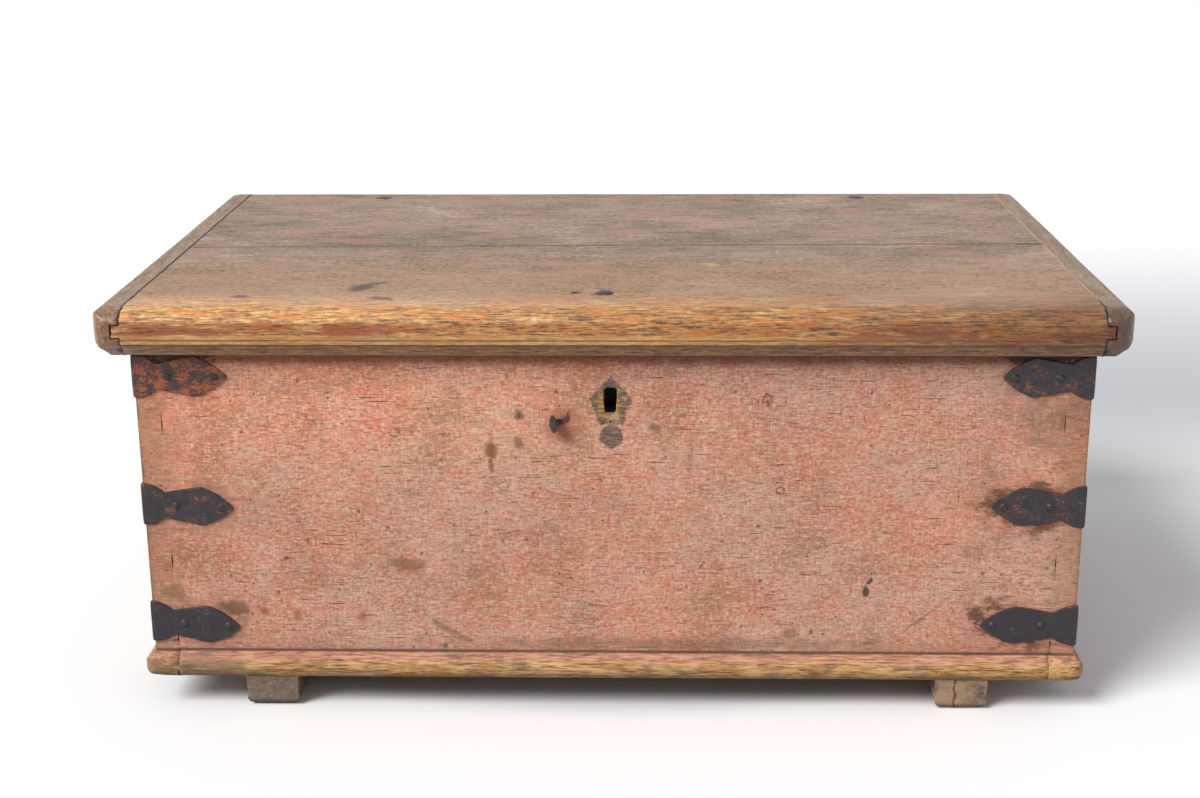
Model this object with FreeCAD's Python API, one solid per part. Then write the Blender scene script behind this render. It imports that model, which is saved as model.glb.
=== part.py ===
import FreeCAD, Part
import math
import os

from FreeCAD import Vector

# Case: four dovetailed boards
case_width = 960.0
case_depth = 610.0
case_height = 324.0
board = 24.0
joint_gap = 0.2
pin_edge_width = 7.0
pin_root_width = 18.0
half_pin_edge_width = 7.0
half_pin_root_width = 12.5
pin_height_shares = (0.30, 0.535, 0.77)

# Keyhole, below the rim of the case
keyhole_width = 11.5
keyhole_height = 27.0
keyhole_corner = 3.5
keyhole_drop = 49.0

# Lid: two boards with a rounded nose and a tongued end on each side
lid_thickness = 50.0
lid_front_overhang = 25.0
lid_end_overhang = 34.5
lid_end_width = 30.0
lid_end_round_depth = 12.0
lid_end_chamfer_depth = 17.0
lid_end_chamfer_height = 18.0
lid_corner_round = 20.0
lid_front_board_left = 299.0
lid_front_board_right = 320.0
lid_round_depth = 26.0
lid_round_height = 16.0
lid_chamfer_depth = 13.0
lid_chamfer_height = 13.0
lid_quirk = 1.6
lid_tongue_length = 9.0
lid_tongue_thickness = 13.0
lid_tongue_rise = 21.0
round_share = 0.5523

# Base: three bottom boards with a moulded edge and a tongued end on each side
base_height = 27.0
base_projection = 12.0
base_slope_depth = 9.0
base_slope_height = 7.0
base_nose_drop = 16.0
base_underside_projection = 7.0
base_end_inset = 26.5
base_tongue_length = 8.0
base_tongue_thickness = 9.0
base_tongue_rise = 9.0
base_tongue_stop = 20.0
base_corner_round = 16.0
base_end_wear_width = 30.0
base_end_wear_height = 9.0
base_front_board_width = 215.0
base_middle_board_width = 205.0
seam_gap = 0.4

# Runners under the base
runner_width = 56.0
runner_height = 34.0
runner_left_inset = 122.5
runner_right_inset = 115.0
runner_side_round = 10.0
runner_front_round = 9.0

# Forged straps round the corners
strap_leg = 95.0
front_leg_shares = {"left_middle": 0.98, "left_lower": 0.97, "right_upper": 0.95, "right_lower": 1.05}
front_leg_droops = {"left_middle": 4.0, "left_lower": 6.0}
strap_thickness = 2.5
strap_corner_length = 4.0
strap_corner_height = 46.0
strap_waist_at = 23.0
strap_waist_height = 28.0
strap_belly_share = 0.64
strap_belly_height = 42.0
strap_top_inset = 24.5
strap_bottom_inset = 33.0
strap_middle_rise = 163.0
strap_nail_shares = (0.36, 0.86)
corner_curve_share = 0.07
waist_curve_share = 0.03
tip_curve_share = 0.1

# Small forged nails of the straps and the lock
nail_head_width = 9.0
nail_head_height = 2.8
nail_shank_width = 4.0
nail_length = 21.0
nail_top_share = 0.35
nail_tip_share = 0.4

# Long forged nails of the bottom, the runners and the lid ends
long_nail_head_width = 11.0
long_nail_head_height = 2.5
long_nail_shank_width = 5.0
bottom_nail_length = 62.0
runner_nail_length = 50.0
runner_nail_recess = 1.5
lid_end_nail_length = 78.0
bottom_nail_side_shares = (0.2, 0.5, 0.8)
bottom_nail_runner_gap = 6.0
bottom_nail_front_shares = (-1.0, -0.34, 0.34, 1.0)
runner_nail_shares = (0.16, 0.5, 0.84)
lid_end_nail_shares = (0.14, 0.5, 0.8)

# Bent nail beside the keyhole
bent_nail_offset = 52.0
bent_nail_drop = 71.0
bent_nail_diameter = 5.0
bent_nail_depth = 18.0
bent_nail_stand = 8.5
bent_nail_reach = 5.0
bent_nail_lean = 22.0
bent_nail_bend = 4.0
big_head_diameter = 18.0
big_head_thickness = 3.0
big_head_crown_share = 0.55

# Hinges: a wire staple in the back board and a wire eye in the lid
hinge_spacing = 608.0
hinge_wire = 6.0
hinge_play = 0.3
hinge_clearance = 0.8
hinge_exit = 29.0
staple_bend = 5.0
staple_slope = 45.0
staple_clinch = 14.0
prong_reach = 11.0
prong_tip_width = 2.0
prong_sink = 1.2

# Lock behind the keyhole
lock_plate_width = 130.0
lock_plate_height = 94.0
lock_plate_thickness = 2.0
lock_rim_gap = 6.0
lock_cover_width = 104.0
lock_cover_height = 80.0
lock_cover_depth = 21.0
lock_cover_wall = 1.5
lock_cover_rim_gap = 10.0
lock_nail_spread = 30.0
bolt_length = 65.0
bolt_height = 9.0
bolt_thickness = 6.0
bolt_rim_gap = 18.0
bolt_stand = 6.5
bolt_play = 0.1
talon_width = 12.0
talon_height = 4.0
guide_width = 8.0
guide_wall = 4.0
guide_back = 3.4
guide_lead = 3.0
guide_tail = 8.0
spring_length = 34.0
spring_thickness = 1.0
spring_play = 0.2
key_pin_diameter = 5.0
key_pin_end_gap = 1.0
key_pin_head = 9.0
key_pin_head_thickness = 1.5

# Staple under the lid that the bolt enters, and its fixings
catch_offset = 24.0
catch_thickness = 3.0
catch_leg = 3.0
catch_play = 1.0
catch_bolt_gap = 3.5
catch_plate_width = 50.0
catch_plate_depth = 34.0
catch_plate_thickness = 3.0
catch_slot_play = 2.0
catch_nail_offset = 6.0
catch_nail_setback = 50.0
catch_nail_length = 62.0
catch_nail_sink = 1.2
empty_hole_offset = 36.0
empty_hole_diameter = 6.0

# One overrun for all cuts
overrun = 5.0

# Planes and centres that the sizes give
half_width = case_width / 2
wire_radius = hinge_wire / 2
eye_radius = 2 * wire_radius + hinge_play
eye_outer = eye_radius + wire_radius
hinge_reach = 2 * eye_outer + hinge_clearance
front_y = lid_front_overhang - (lid_front_overhang + case_depth + hinge_reach) / 2
back_y = front_y + case_depth
front_inner_y = front_y + board
back_inner_y = back_y - board
base_z = runner_height
wall_z = base_z + base_height
rim_z = wall_z + case_height
lid_top_z = rim_z + lid_thickness
hinge_y = back_y + hinge_clearance + eye_outer
keyhole_z = rim_z - keyhole_drop
runner_middles = {-1: runner_left_inset - half_width, 1: half_width - runner_right_inset}
runner_nearest = half_width - max(runner_left_inset, runner_right_inset)
bottom_nail_reach = runner_nearest - (runner_width + long_nail_head_width) / 2 - bottom_nail_runner_gap
parts = {}


def box(low, high):
    """A box between two opposite corners."""
    size = high - low
    return Part.makeBox(size.x, size.y, size.z, low)


def solid_along(edges, direction):
    """A closed outline of edges drawn out along a direction."""
    return Part.Face(Part.Wire(edges)).extrude(direction)


def lines(points):
    """Straight edges through the points, left open."""
    return [Part.makeLine(a, b) for a, b in zip(points, points[1:])]


def closed_lines(points):
    """Straight edges round the points."""
    return lines(list(points) + [points[0]])


def round_edge(start, corner, end):
    """A quarter round, tangent to both sides of the corner that it replaces."""
    curve = Part.BezierCurve()
    lean_in = start + (corner - start) * round_share
    lean_out = end + (corner - end) * round_share
    curve.setPoles([start, lean_in, lean_out, end])
    return curve.toShape()


def bulged_edge(start, end, normal, curve_share):
    """An arc between two points that bulges by a share of its chord."""
    chord = end - start
    middle = (start + end) / 2 + normal.cross(chord) * curve_share
    return Part.Arc(start, middle, end).toShape()


def bent_rod(points, bend, radius):
    """A round rod along straight runs that are joined by tangent arcs."""
    edges = []
    last = points[0]
    for before, point, after in zip(points, points[1:], points[2:]):
        way_in = (point - before).normalize()
        way_out = (after - point).normalize()
        turn = way_in.getAngle(way_out)
        tangent = bend * math.tan(turn / 2)
        start = point - way_in * tangent
        end = point + way_out * tangent
        inward = (way_out - way_in).normalize()
        middle = point + inward * (bend / math.cos(turn / 2) - bend)
        edges.append(Part.makeLine(last, start))
        edges.append(Part.Arc(start, middle, end).toShape())
        last = end
    edges.append(Part.makeLine(last, points[-1]))
    ring = Part.Wire(Part.makeCircle(radius, points[0], points[1] - points[0]))
    return Part.Wire(edges).makePipeShell([ring], True, False)


def placed(shape, position, direction):
    """A copy that is turned from up to the direction and moved to the position."""
    copy = shape.copy()
    copy.Placement = FreeCAD.Placement(position, FreeCAD.Rotation(Vector(0, 0, 1), direction))
    return copy


def square(width, height):
    """A square wire about the vertical axis."""
    half = width / 2
    corners = [Vector(x, y, height) for x, y in ((-half, -half), (half, -half), (half, half), (-half, half))]
    return Part.makePolygon(corners + [corners[0]])


def nail(head_width, head_height, shank_width, length):
    """A forged nail with a four-sided head, driven upwards from its seat at the origin."""
    head_wires = [square(head_width * nail_top_share, -head_height), square(head_width, 0)]
    shank_wires = [square(shank_width, 0), square(shank_width * nail_tip_share, length)]
    head = Part.makeLoft(head_wires, True, True)
    shank = Part.makeLoft(shank_wires, True, True)
    return head.fuse(shank).removeSplitter()


def big_head():
    """The broad flat head of a large nail, with its seat at the origin and its crown below."""
    radius = big_head_diameter / 2
    rim = big_head_thickness * (1 - big_head_crown_share)
    crown = Part.makeCone(radius, radius * big_head_crown_share, big_head_thickness - rim, Vector(0, 0, -rim),
                          Vector(0, 0, -1))
    return Part.makeCylinder(radius, rim, Vector(0, 0, -rim)).fuse(crown).removeSplitter()


def corner_waste(corner, inward, radius, height):
    """What an upright square corner loses when it is rounded."""
    start = corner + Vector(inward.x * radius, 0, 0)
    end = corner + Vector(0, inward.y * radius, 0)
    out_x = Vector(-inward.x * overrun, 0, 0)
    out_y = Vector(0, -inward.y * overrun, 0)
    edges = [round_edge(start, corner, end)]
    edges += lines([end, end + out_x, corner + out_x + out_y, start + out_y, start])
    return solid_along(edges, Vector(0, 0, height))


def panel(outline, seams, seam_x, tongue_length, tongue_low, tongue_high, tongue_stop, low_z, high_z):
    """Boards cut from one outline along X, in order from the front, with a tongue at both ends.

    A seam has one depth at its left and one at its right. The tongues stop short of both edges.
    """
    reach = seam_x + tongue_length
    whole = solid_along([edge.translated(Vector(-reach, 0, 0)) for edge in outline], Vector(2 * reach, 0, 0))
    bounds = whole.BoundBox
    for side in (-1, 1):
        near = side * seam_x
        far = side * (reach + overrun)
        for low, high in ((low_z - overrun, tongue_low), (tongue_high, high_z + overrun)):
            shoulder = box(Vector(min(near, far), bounds.YMin - overrun, low),
                           Vector(max(near, far), bounds.YMax + overrun, high))
            whole = whole.cut(shoulder)
        if tongue_stop:
            for low_y, high_y in ((bounds.YMin - overrun, bounds.YMin + tongue_stop),
                                  (bounds.YMax - tongue_stop, bounds.YMax + overrun)):
                whole = whole.cut(box(Vector(min(near, far), low_y, low_z - overrun),
                                      Vector(max(near, far), high_y, high_z + overrun)))
    front_edge = bounds.YMin - overrun
    back_edge = bounds.YMax + overrun
    edges = [(front_edge, front_edge)] + list(seams) + [(back_edge, back_edge)]
    slab_z = low_z - overrun
    slab_height = high_z + overrun - slab_z
    boards = []
    for count, ((left_start, right_start), (left_end, right_end)) in enumerate(zip(edges, edges[1:])):
        front_inset = seam_gap / 2 if count else 0
        rear_inset = seam_gap / 2 if count < len(seams) else 0
        ends = ((-reach, left_start + front_inset), (reach, right_start + front_inset),
                (reach, right_end - rear_inset), (-reach, left_end - rear_inset))
        slab = solid_along(closed_lines([Vector(x, y, slab_z) for x, y in ends]), Vector(0, 0, slab_height))
        boards.append(whole.common(slab))
    return boards


def panel_end(outline, end_outline, side, seam_x, outer_x, tongue_length, tongue_low, tongue_high,
              tongue_stop, corner_round):
    """A cross-grain end of a panel, grooved for the tongues, with moulded edges and rounded corners."""
    reach = outer_x - seam_x
    shift = Vector(seam_x if side > 0 else -outer_x, 0, 0)
    along = solid_along([edge.translated(shift) for edge in outline], Vector(reach, 0, 0))
    bounds = along.BoundBox
    across = solid_along(end_outline(side, bounds.YMin - overrun), Vector(0, bounds.YLength + 2 * overrun, 0))
    near = side * (seam_x - overrun)
    far = side * (seam_x + tongue_length + joint_gap)
    groove_inset = tongue_stop - joint_gap if tongue_stop else -overrun
    groove = box(Vector(min(near, far), bounds.YMin + groove_inset, tongue_low - joint_gap),
                 Vector(max(near, far), bounds.YMax - groove_inset, tongue_high + joint_gap))
    low_z = bounds.ZMin - overrun
    height = bounds.ZLength + 2 * overrun
    waste = [corner_waste(Vector(side * outer_x, y, low_z), Vector(-side, way, 0), corner_round, height)
             for y, way in ((bounds.YMin, 1), (bounds.YMax, -1))]
    return along.common(across).cut([groove] + waste)


# Nails that several pieces share
small_nail = nail(nail_head_width, nail_head_height, nail_shank_width, nail_length)
bottom_nail = nail(long_nail_head_width, long_nail_head_height, long_nail_shank_width, bottom_nail_length)
runner_nail = nail(long_nail_head_width, long_nail_head_height, long_nail_shank_width, runner_nail_length)
lid_end_nail = nail(long_nail_head_width, long_nail_head_height, long_nail_shank_width, lid_end_nail_length)

# Corner straps with their nails
strap_levels = {"upper": rim_z - strap_top_inset, "middle": wall_z + strap_middle_rise,
                "lower": wall_z + strap_bottom_inset}
strap_nails = []


def strap_point(corner, along, level, leg, droop, distance, height):
    """A place on a leaf, by its distance from the corner and its height over the drooping middle line."""
    fall = droop * max(distance - strap_corner_length, 0) / leg
    return Vector(corner.x, corner.y, level + height - fall) + along * distance


def strap_leaf(corner, along, outward, level, leg, droop):
    """One leaf of a strap, from the corner to its pointed tip, standing on the board's face."""
    up = Vector(0, 0, 1)

    def at(distance, height):
        return strap_point(corner, along, level, leg, droop, distance, height)

    def half_outline(sign):
        block = at(strap_corner_length, sign * strap_corner_height / 2)
        waist = at(strap_waist_at, sign * strap_waist_height / 2)
        belly = at(strap_belly_share * leg, sign * strap_belly_height / 2)
        normal = along.cross(up) * sign
        return [Part.makeLine(at(-strap_thickness, sign * strap_corner_height / 2), block),
                bulged_edge(block, waist, normal, corner_curve_share),
                bulged_edge(waist, belly, normal, waist_curve_share),
                bulged_edge(belly, at(leg, 0), normal, tip_curve_share)]

    heel = Part.makeLine(at(-strap_thickness, -strap_corner_height / 2),
                         at(-strap_thickness, strap_corner_height / 2))
    outline = Part.__sortEdges__([heel] + half_outline(1) + half_outline(-1))
    return solid_along(outline, outward * strap_thickness)


def corner_strap(side, end, level, leg, droop):
    """A strap bent round one corner, and the nails through its two leaves."""
    corner = Vector(side * half_width, front_y if end < 0 else back_y, 0)
    leaves = []
    nails = []
    inward_x = Vector(-side, 0, 0)
    inward_y = Vector(0, -end, 0)
    for along, outward, length, fall in ((inward_x, inward_y * -1, leg, droop),
                                         (inward_y, inward_x * -1, strap_leg, 0)):
        leaves.append(strap_leaf(corner, along, outward, level, length, fall))
        for share in strap_nail_shares:
            middle = strap_point(corner, along, level, length, fall, share * length, 0)
            nails.append(placed(small_nail, middle + outward * strap_thickness, outward * -1))
    strap = leaves[0].fuse(leaves[1]).removeSplitter()
    bend_x = corner.x + side * strap_thickness
    bend_y = corner.y + end * strap_thickness
    bend_low = Vector(bend_x, bend_y, level - strap_corner_height / 2)
    bend_high = Vector(bend_x, bend_y, level + strap_corner_height / 2)
    bend_line = Part.makeLine(bend_low, bend_high)
    bend_middle = bend_line.CenterOfMass
    bends = [edge for edge in strap.Edges if edge.CenterOfMass.distanceToPoint(bend_middle) < joint_gap]
    return strap.makeFillet(strap_thickness, bends).cut(nails), nails


for end, end_name in ((-1, "front"), (1, "rear")):
    for side, side_name in ((-1, "left"), (1, "right")):
        for level_name, level in strap_levels.items():
            place = f"{side_name}_{level_name}" if end < 0 else ""
            leg = strap_leg * front_leg_shares.get(place, 1)
            strap, nails = corner_strap(side, end, level, leg, front_leg_droops.get(place, 0))
            parts[f"strap_{end_name}_{side_name}_{level_name}"] = strap
            strap_nails += nails
parts["strap_nails"] = Part.makeCompound(strap_nails)

# Bent nail: straight into the board, then bent over to the left
bent_nail_entry = Vector(-bent_nail_offset, front_y, rim_z - bent_nail_drop)
lean = Vector(-math.cos(math.radians(bent_nail_lean)), -math.sin(math.radians(bent_nail_lean)), 0)
bent_nail_knee = bent_nail_entry + Vector(0, -bent_nail_stand, 0)
bent_nail_seat = bent_nail_knee + lean * bent_nail_reach
bent_shank = bent_rod([bent_nail_entry + Vector(0, bent_nail_depth, 0), bent_nail_knee, bent_nail_seat],
                      bent_nail_bend, bent_nail_diameter / 2)
parts["bent_nail"] = bent_shank.fuse(placed(big_head(), bent_nail_seat, lean * -1)).removeSplitter()

# Hinge staples: a straight bar that the lid's eye turns on, and two legs clinched inside the back board
slope = math.radians(staple_slope)
staple_half = wire_radius + hinge_clearance + staple_bend
staple_turn_y = back_inner_y - wire_radius
staple_turn_z = rim_z - (hinge_y - staple_turn_y) * math.tan(slope)
for side, side_name in ((-1, "left"), (1, "right")):
    hinge_x = side * hinge_spacing / 2
    route = []
    for leg_x in (hinge_x - staple_half, hinge_x + staple_half):
        leg = [Vector(leg_x, staple_turn_y, staple_turn_z - staple_clinch),
               Vector(leg_x, staple_turn_y, staple_turn_z),
               Vector(leg_x, hinge_y, rim_z)]
        route += leg if leg_x < hinge_x else leg[::-1]
    parts[f"hinge_staple_{side_name}"] = bent_rod(route, staple_bend, wire_radius)

# Hinge eyes: a ring round the staple's bar, a shank up through the lid and two prongs hammered flush on top
exit_y = back_y - hinge_exit
shank_way = Vector(0, exit_y - hinge_y, lid_thickness).normalize()
for side, side_name in ((-1, "left"), (1, "right")):
    hinge_x = side * hinge_spacing / 2
    centre = Vector(hinge_x, hinge_y, rim_z)
    ring = Part.makeTorus(eye_radius, wire_radius, centre, Vector(1, 0, 0))
    shank_length = (lid_thickness + overrun) / shank_way.z
    shank = Part.makeCylinder(wire_radius, shank_length, centre + shank_way * eye_radius, shank_way)
    above = box(Vector(hinge_x - shank_length, exit_y - shank_length, lid_top_z),
                Vector(hinge_x + shank_length, back_y + shank_length, lid_top_z + shank_length))
    prong_points = [Vector(hinge_x + across * prong_reach, exit_y + along * width / 2, lid_top_z - prong_sink)
                    for across, along, width in ((-1, -1, prong_tip_width), (0, -1, hinge_wire),
                                                 (1, -1, prong_tip_width), (1, 1, prong_tip_width),
                                                 (0, 1, hinge_wire), (-1, 1, prong_tip_width))]
    prongs = solid_along(closed_lines(prong_points), Vector(0, 0, prong_sink))
    parts[f"hinge_eye_{side_name}"] = ring.fuse([shank.cut(above), prongs]).removeSplitter()
hinge_staples = [parts["hinge_staple_left"], parts["hinge_staple_right"]]
hinge_eyes = [parts["hinge_eye_left"], parts["hinge_eye_right"]]

# Keyhole: an upright slot with rounded corners, right through the front board and the lock plate
slot_half = keyhole_width / 2
slot_rise = keyhole_height / 2
key_z = keyhole_z + slot_rise - slot_half
slot_y = front_y - overrun
slot_depth = overrun + board + lock_plate_thickness + overrun
keyhole = box(Vector(-slot_half, slot_y, keyhole_z - slot_rise),
              Vector(slot_half, slot_y + slot_depth, keyhole_z + slot_rise))
slot_corners = [edge for edge in keyhole.Edges if edge.BoundBox.YLength > slot_depth / 2]
keyhole = keyhole.makeFillet(keyhole_corner, slot_corners)

# Lock plate against the inside of the front board
plate_y = front_inner_y + lock_plate_thickness
plate_top = rim_z - lock_rim_gap
plate_half = lock_plate_width / 2
lock_plate = box(Vector(-plate_half, front_inner_y, plate_top - lock_plate_height),
                 Vector(plate_half, plate_y, plate_top))

# Lock cover: a cap with a side flange, and a slot on top for the lid's staple
cover_half = lock_cover_width / 2
cover_top = rim_z - lock_cover_rim_gap
cover_low = cover_top - lock_cover_height
cover_back = plate_y + lock_cover_depth
cover_inside_y = cover_back - lock_cover_wall
flange_low = cover_low + (lock_cover_height - 2 * lock_nail_spread) / 2
flange_high = flange_low + 2 * lock_nail_spread
flange_y = plate_y + lock_cover_wall
hollow_half = cover_half - lock_cover_wall
hollow_top = cover_top - lock_cover_wall
lock_cover = box(Vector(-cover_half, plate_y, cover_low), Vector(cover_half, cover_back, cover_top))
flange = box(Vector(-plate_half, plate_y, flange_low), Vector(plate_half, flange_y, flange_high))
hollow = box(Vector(-hollow_half, plate_y - overrun, cover_low + lock_cover_wall),
             Vector(hollow_half, cover_inside_y, hollow_top))
catch_x = -catch_offset
slot_reach = catch_thickness / 2 + catch_slot_play
catch_slot = box(Vector(catch_x - slot_reach, plate_y - overrun, hollow_top - overrun),
                 Vector(catch_x + slot_reach, cover_inside_y, cover_top + overrun))
lock_cover = lock_cover.fuse(flange).cut([hollow, catch_slot])
lock_nails = []
flange_middle = (cover_half + plate_half) / 2
cover_middle = (cover_top + cover_low) / 2
for nail_x in (-flange_middle, flange_middle):
    for nail_z in (cover_middle - lock_nail_spread / 2, cover_middle + lock_nail_spread / 2):
        seat = Vector(nail_x, flange_y, nail_z)
        lock_nails.append(placed(small_nail, seat, Vector(0, -1, 0)))
key_pin = Part.makeCylinder(key_pin_diameter / 2, cover_back - plate_y - key_pin_end_gap,
                            Vector(0, plate_y + key_pin_end_gap, key_z), Vector(0, 1, 0))
key_pin_rivet = Part.makeCylinder(key_pin_head / 2, key_pin_head_thickness, Vector(0, cover_back, key_z),
                                  Vector(0, 1, 0))
key_pin = key_pin.fuse(key_pin_rivet).removeSplitter()
parts["lock_plate"] = lock_plate.cut([keyhole] + lock_nails)
parts["lock_cover"] = lock_cover.cut([key_pin] + lock_nails).removeSplitter()
parts["lock_nails"] = Part.makeCompound(lock_nails)
parts["key_pin"] = key_pin

# Lock bolt: a bar with a notch that the key pushes, drawn back at rest
bolt_tip = catch_x + catch_thickness / 2 + catch_bolt_gap
bolt_top = rim_z - bolt_rim_gap
bolt_low = bolt_top - bolt_height
bolt_y = plate_y + bolt_stand
bolt_end = bolt_tip + bolt_length
bolt_back = bolt_y + bolt_thickness
bolt = box(Vector(bolt_tip, bolt_y, bolt_low), Vector(bolt_end, bolt_back, bolt_top))
talon = box(Vector(-talon_width / 2, bolt_y - overrun, bolt_low - overrun),
            Vector(talon_width / 2, bolt_back + overrun, bolt_low + talon_height))
parts["lock_bolt"] = bolt.cut(talon)

# Bolt guides on the plate, and the leaf spring that keeps the bolt from dropping back
guide_places = {"left": bolt_tip + guide_lead, "right": bolt_end - guide_tail - guide_width}
for guide_name, guide_x in guide_places.items():
    guide = box(Vector(guide_x, plate_y, bolt_low - guide_wall),
                Vector(guide_x + guide_width, bolt_back + guide_back, bolt_top + guide_wall))
    passage = box(Vector(guide_x - overrun, bolt_y - bolt_play, bolt_low - bolt_play),
                  Vector(guide_x + guide_width + overrun, bolt_back + bolt_play, bolt_top + bolt_play))
    parts[f"bolt_guide_{guide_name}"] = guide.cut(passage)
spring_middle = (guide_places["left"] + guide_width + guide_places["right"]) / 2
spring_half = spring_length / 2
spring_ends = [Vector(spring_middle + way * spring_half, bolt_y, hollow_top) for way in (-1, 1)]
spring_dip = Vector(spring_middle, bolt_y, bolt_top + spring_play + spring_thickness)
thickness_up = Vector(0, 0, spring_thickness)
spring_edges = [Part.Arc(spring_ends[0], spring_dip, spring_ends[1]).toShape(),
                Part.makeLine(spring_ends[1], spring_ends[1] - thickness_up),
                Part.Arc(spring_ends[1] - thickness_up, spring_dip - thickness_up,
                         spring_ends[0] - thickness_up).toShape(),
                Part.makeLine(spring_ends[0] - thickness_up, spring_ends[0])]
parts["bolt_spring"] = solid_along(spring_edges, Vector(0, bolt_thickness, 0))

# Staple under the lid: a plate with a hanging loop for the bolt, one nail left and one empty nail hole
catch_front = bolt_y - catch_play - catch_leg
catch_rear = bolt_back + catch_play + catch_leg
catch_low = bolt_low - catch_play - catch_leg
catch_middle = -(catch_nail_offset + empty_hole_offset) / 2
catch_plate_z = rim_z - catch_plate_thickness
catch_plate_half = catch_plate_width / 2
loop = box(Vector(catch_x - catch_thickness / 2, catch_front, catch_low),
           Vector(catch_x + catch_thickness / 2, catch_rear, rim_z))
loop_hole = box(Vector(catch_x - catch_thickness, catch_front + catch_leg, catch_low + catch_leg),
                Vector(catch_x + catch_thickness, catch_rear - catch_leg, bolt_top + catch_play))
catch_plate = box(Vector(catch_middle - catch_plate_half, catch_front, catch_plate_z),
                  Vector(catch_middle + catch_plate_half, catch_front + catch_plate_depth, rim_z))
lid_staple = loop.cut(loop_hole).fuse(catch_plate)
fixing_y = front_y + catch_nail_setback
staple_nail_seat = Vector(-catch_nail_offset, fixing_y, lid_top_z - catch_nail_sink)
staple_nail = nail(long_nail_shank_width, catch_nail_sink, long_nail_shank_width, catch_nail_length)
staple_nail = placed(staple_nail.fuse(big_head()).removeSplitter(), staple_nail_seat, Vector(0, 0, -1))
empty_hole = Part.makeCylinder(empty_hole_diameter / 2, lid_thickness + catch_plate_thickness + 2 * overrun,
                               Vector(-empty_hole_offset, fixing_y, catch_plate_z - overrun))
parts["lid_staple"] = lid_staple.removeSplitter().cut([staple_nail, empty_hole])
parts["staple_nail"] = staple_nail

# Lid outline from front to back, and the same nose on the outer edge of its ends
nose_y = front_y - lid_front_overhang


def nose_edges(at, outer, round_depth, chamfer_depth, chamfer_height, quirk):
    """The rounded nose, its quirk if it has one, and its chamfer, from the underside to the top."""
    under = at(outer - chamfer_depth, rim_z)
    quirk_out = at(outer, rim_z + chamfer_height)
    face_top = at(outer, lid_top_z - lid_round_height)
    corner = at(outer, lid_top_z)
    top = at(outer - round_depth, lid_top_z)
    points = [under, quirk_out, face_top]
    if quirk:
        points.insert(1, at(outer - quirk, rim_z + chamfer_height))
    return lines(points) + [round_edge(face_top, corner, top)], under, top


nose, nose_under, nose_top = nose_edges(lambda reach, z: Vector(0, front_y - reach, z), lid_front_overhang,
                                        lid_round_depth, lid_chamfer_depth, lid_chamfer_height, lid_quirk)
lid_outline = nose + lines([nose_top, Vector(0, back_y, lid_top_z), Vector(0, back_y, rim_z), nose_under])
lid_outer_x = half_width + lid_end_overhang
lid_seam_x = lid_outer_x - lid_end_width
lid_tongue_low = rim_z + lid_tongue_rise
lid_tongue_high = lid_tongue_low + lid_tongue_thickness


def lid_end_outline(side, y):
    """The outline of a lid end, seen from the front."""
    edges, under, top = nose_edges(lambda reach, z: Vector(side * (half_width + reach), y, z),
                                   lid_end_overhang, lid_end_round_depth, lid_end_chamfer_depth,
                                   lid_end_chamfer_height, 0)
    inner_x = side * lid_seam_x
    return edges + lines([top, Vector(inner_x, y, lid_top_z), Vector(inner_x, y, rim_z), under])


lid_seam = (nose_y + lid_front_board_left, nose_y + lid_front_board_right)
lid_boards = panel(lid_outline, [lid_seam], lid_seam_x, lid_tongue_length, lid_tongue_low, lid_tongue_high, 0,
                   rim_z, lid_top_z)
lid_end_nails = []
lid_depth = back_y - nose_y
lid_nail_z = (lid_tongue_low + lid_tongue_high) / 2
for side, side_name in ((-1, "left"), (1, "right")):
    nails = []
    for share in lid_end_nail_shares:
        seat = Vector(side * (lid_outer_x - long_nail_head_height), nose_y + share * lid_depth, lid_nail_z)
        nails.append(placed(lid_end_nail, seat, Vector(-side, 0, 0)))
    lid_end = panel_end(lid_outline, lid_end_outline, side, lid_seam_x, lid_outer_x, lid_tongue_length,
                        lid_tongue_low, lid_tongue_high, 0, lid_corner_round)
    parts[f"lid_end_{side_name}"] = lid_end.cut(nails)
    lid_end_nails += nails
parts["lid_front_board"] = lid_boards[0].cut(lid_end_nails + [staple_nail, empty_hole])
parts["lid_rear_board"] = lid_boards[1].cut(lid_end_nails + hinge_eyes)
parts["lid_end_nails"] = Part.makeCompound(lid_end_nails)


# Bottom outline from front to back, and the same moulding on the outer edge of its ends
def moulding_edges(at):
    """The sloped top and rounded nose of the base, from the wall's foot to the underside."""
    foot = at(0, wall_z)
    slope_end = at(base_slope_depth, wall_z - base_slope_height)
    nose_point = at(base_projection, wall_z - base_nose_drop)
    under = at(base_underside_projection, base_z)
    return [Part.makeLine(foot, slope_end), Part.Arc(slope_end, nose_point, under).toShape()], foot, under


moulding, base_foot, base_under = moulding_edges(lambda reach, z: Vector(0, front_y - reach, z))
base_outline = moulding + lines([base_under, Vector(0, back_y, base_z), Vector(0, back_y, wall_z), base_foot])
base_outer_x = half_width + base_projection
base_seam_x = half_width - base_end_inset
base_tongue_low = base_z + base_tongue_rise
base_tongue_high = base_tongue_low + base_tongue_thickness


def base_end_outline(side, y):
    """The outline of a bottom end, seen from the front."""
    edges, foot, under = moulding_edges(lambda reach, z: Vector(side * (half_width + reach), y, z))
    inner_x = side * base_seam_x
    return edges + lines([under, Vector(inner_x, y, base_z), Vector(inner_x, y, wall_z), foot])


base_front_y = front_y - base_projection


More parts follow.
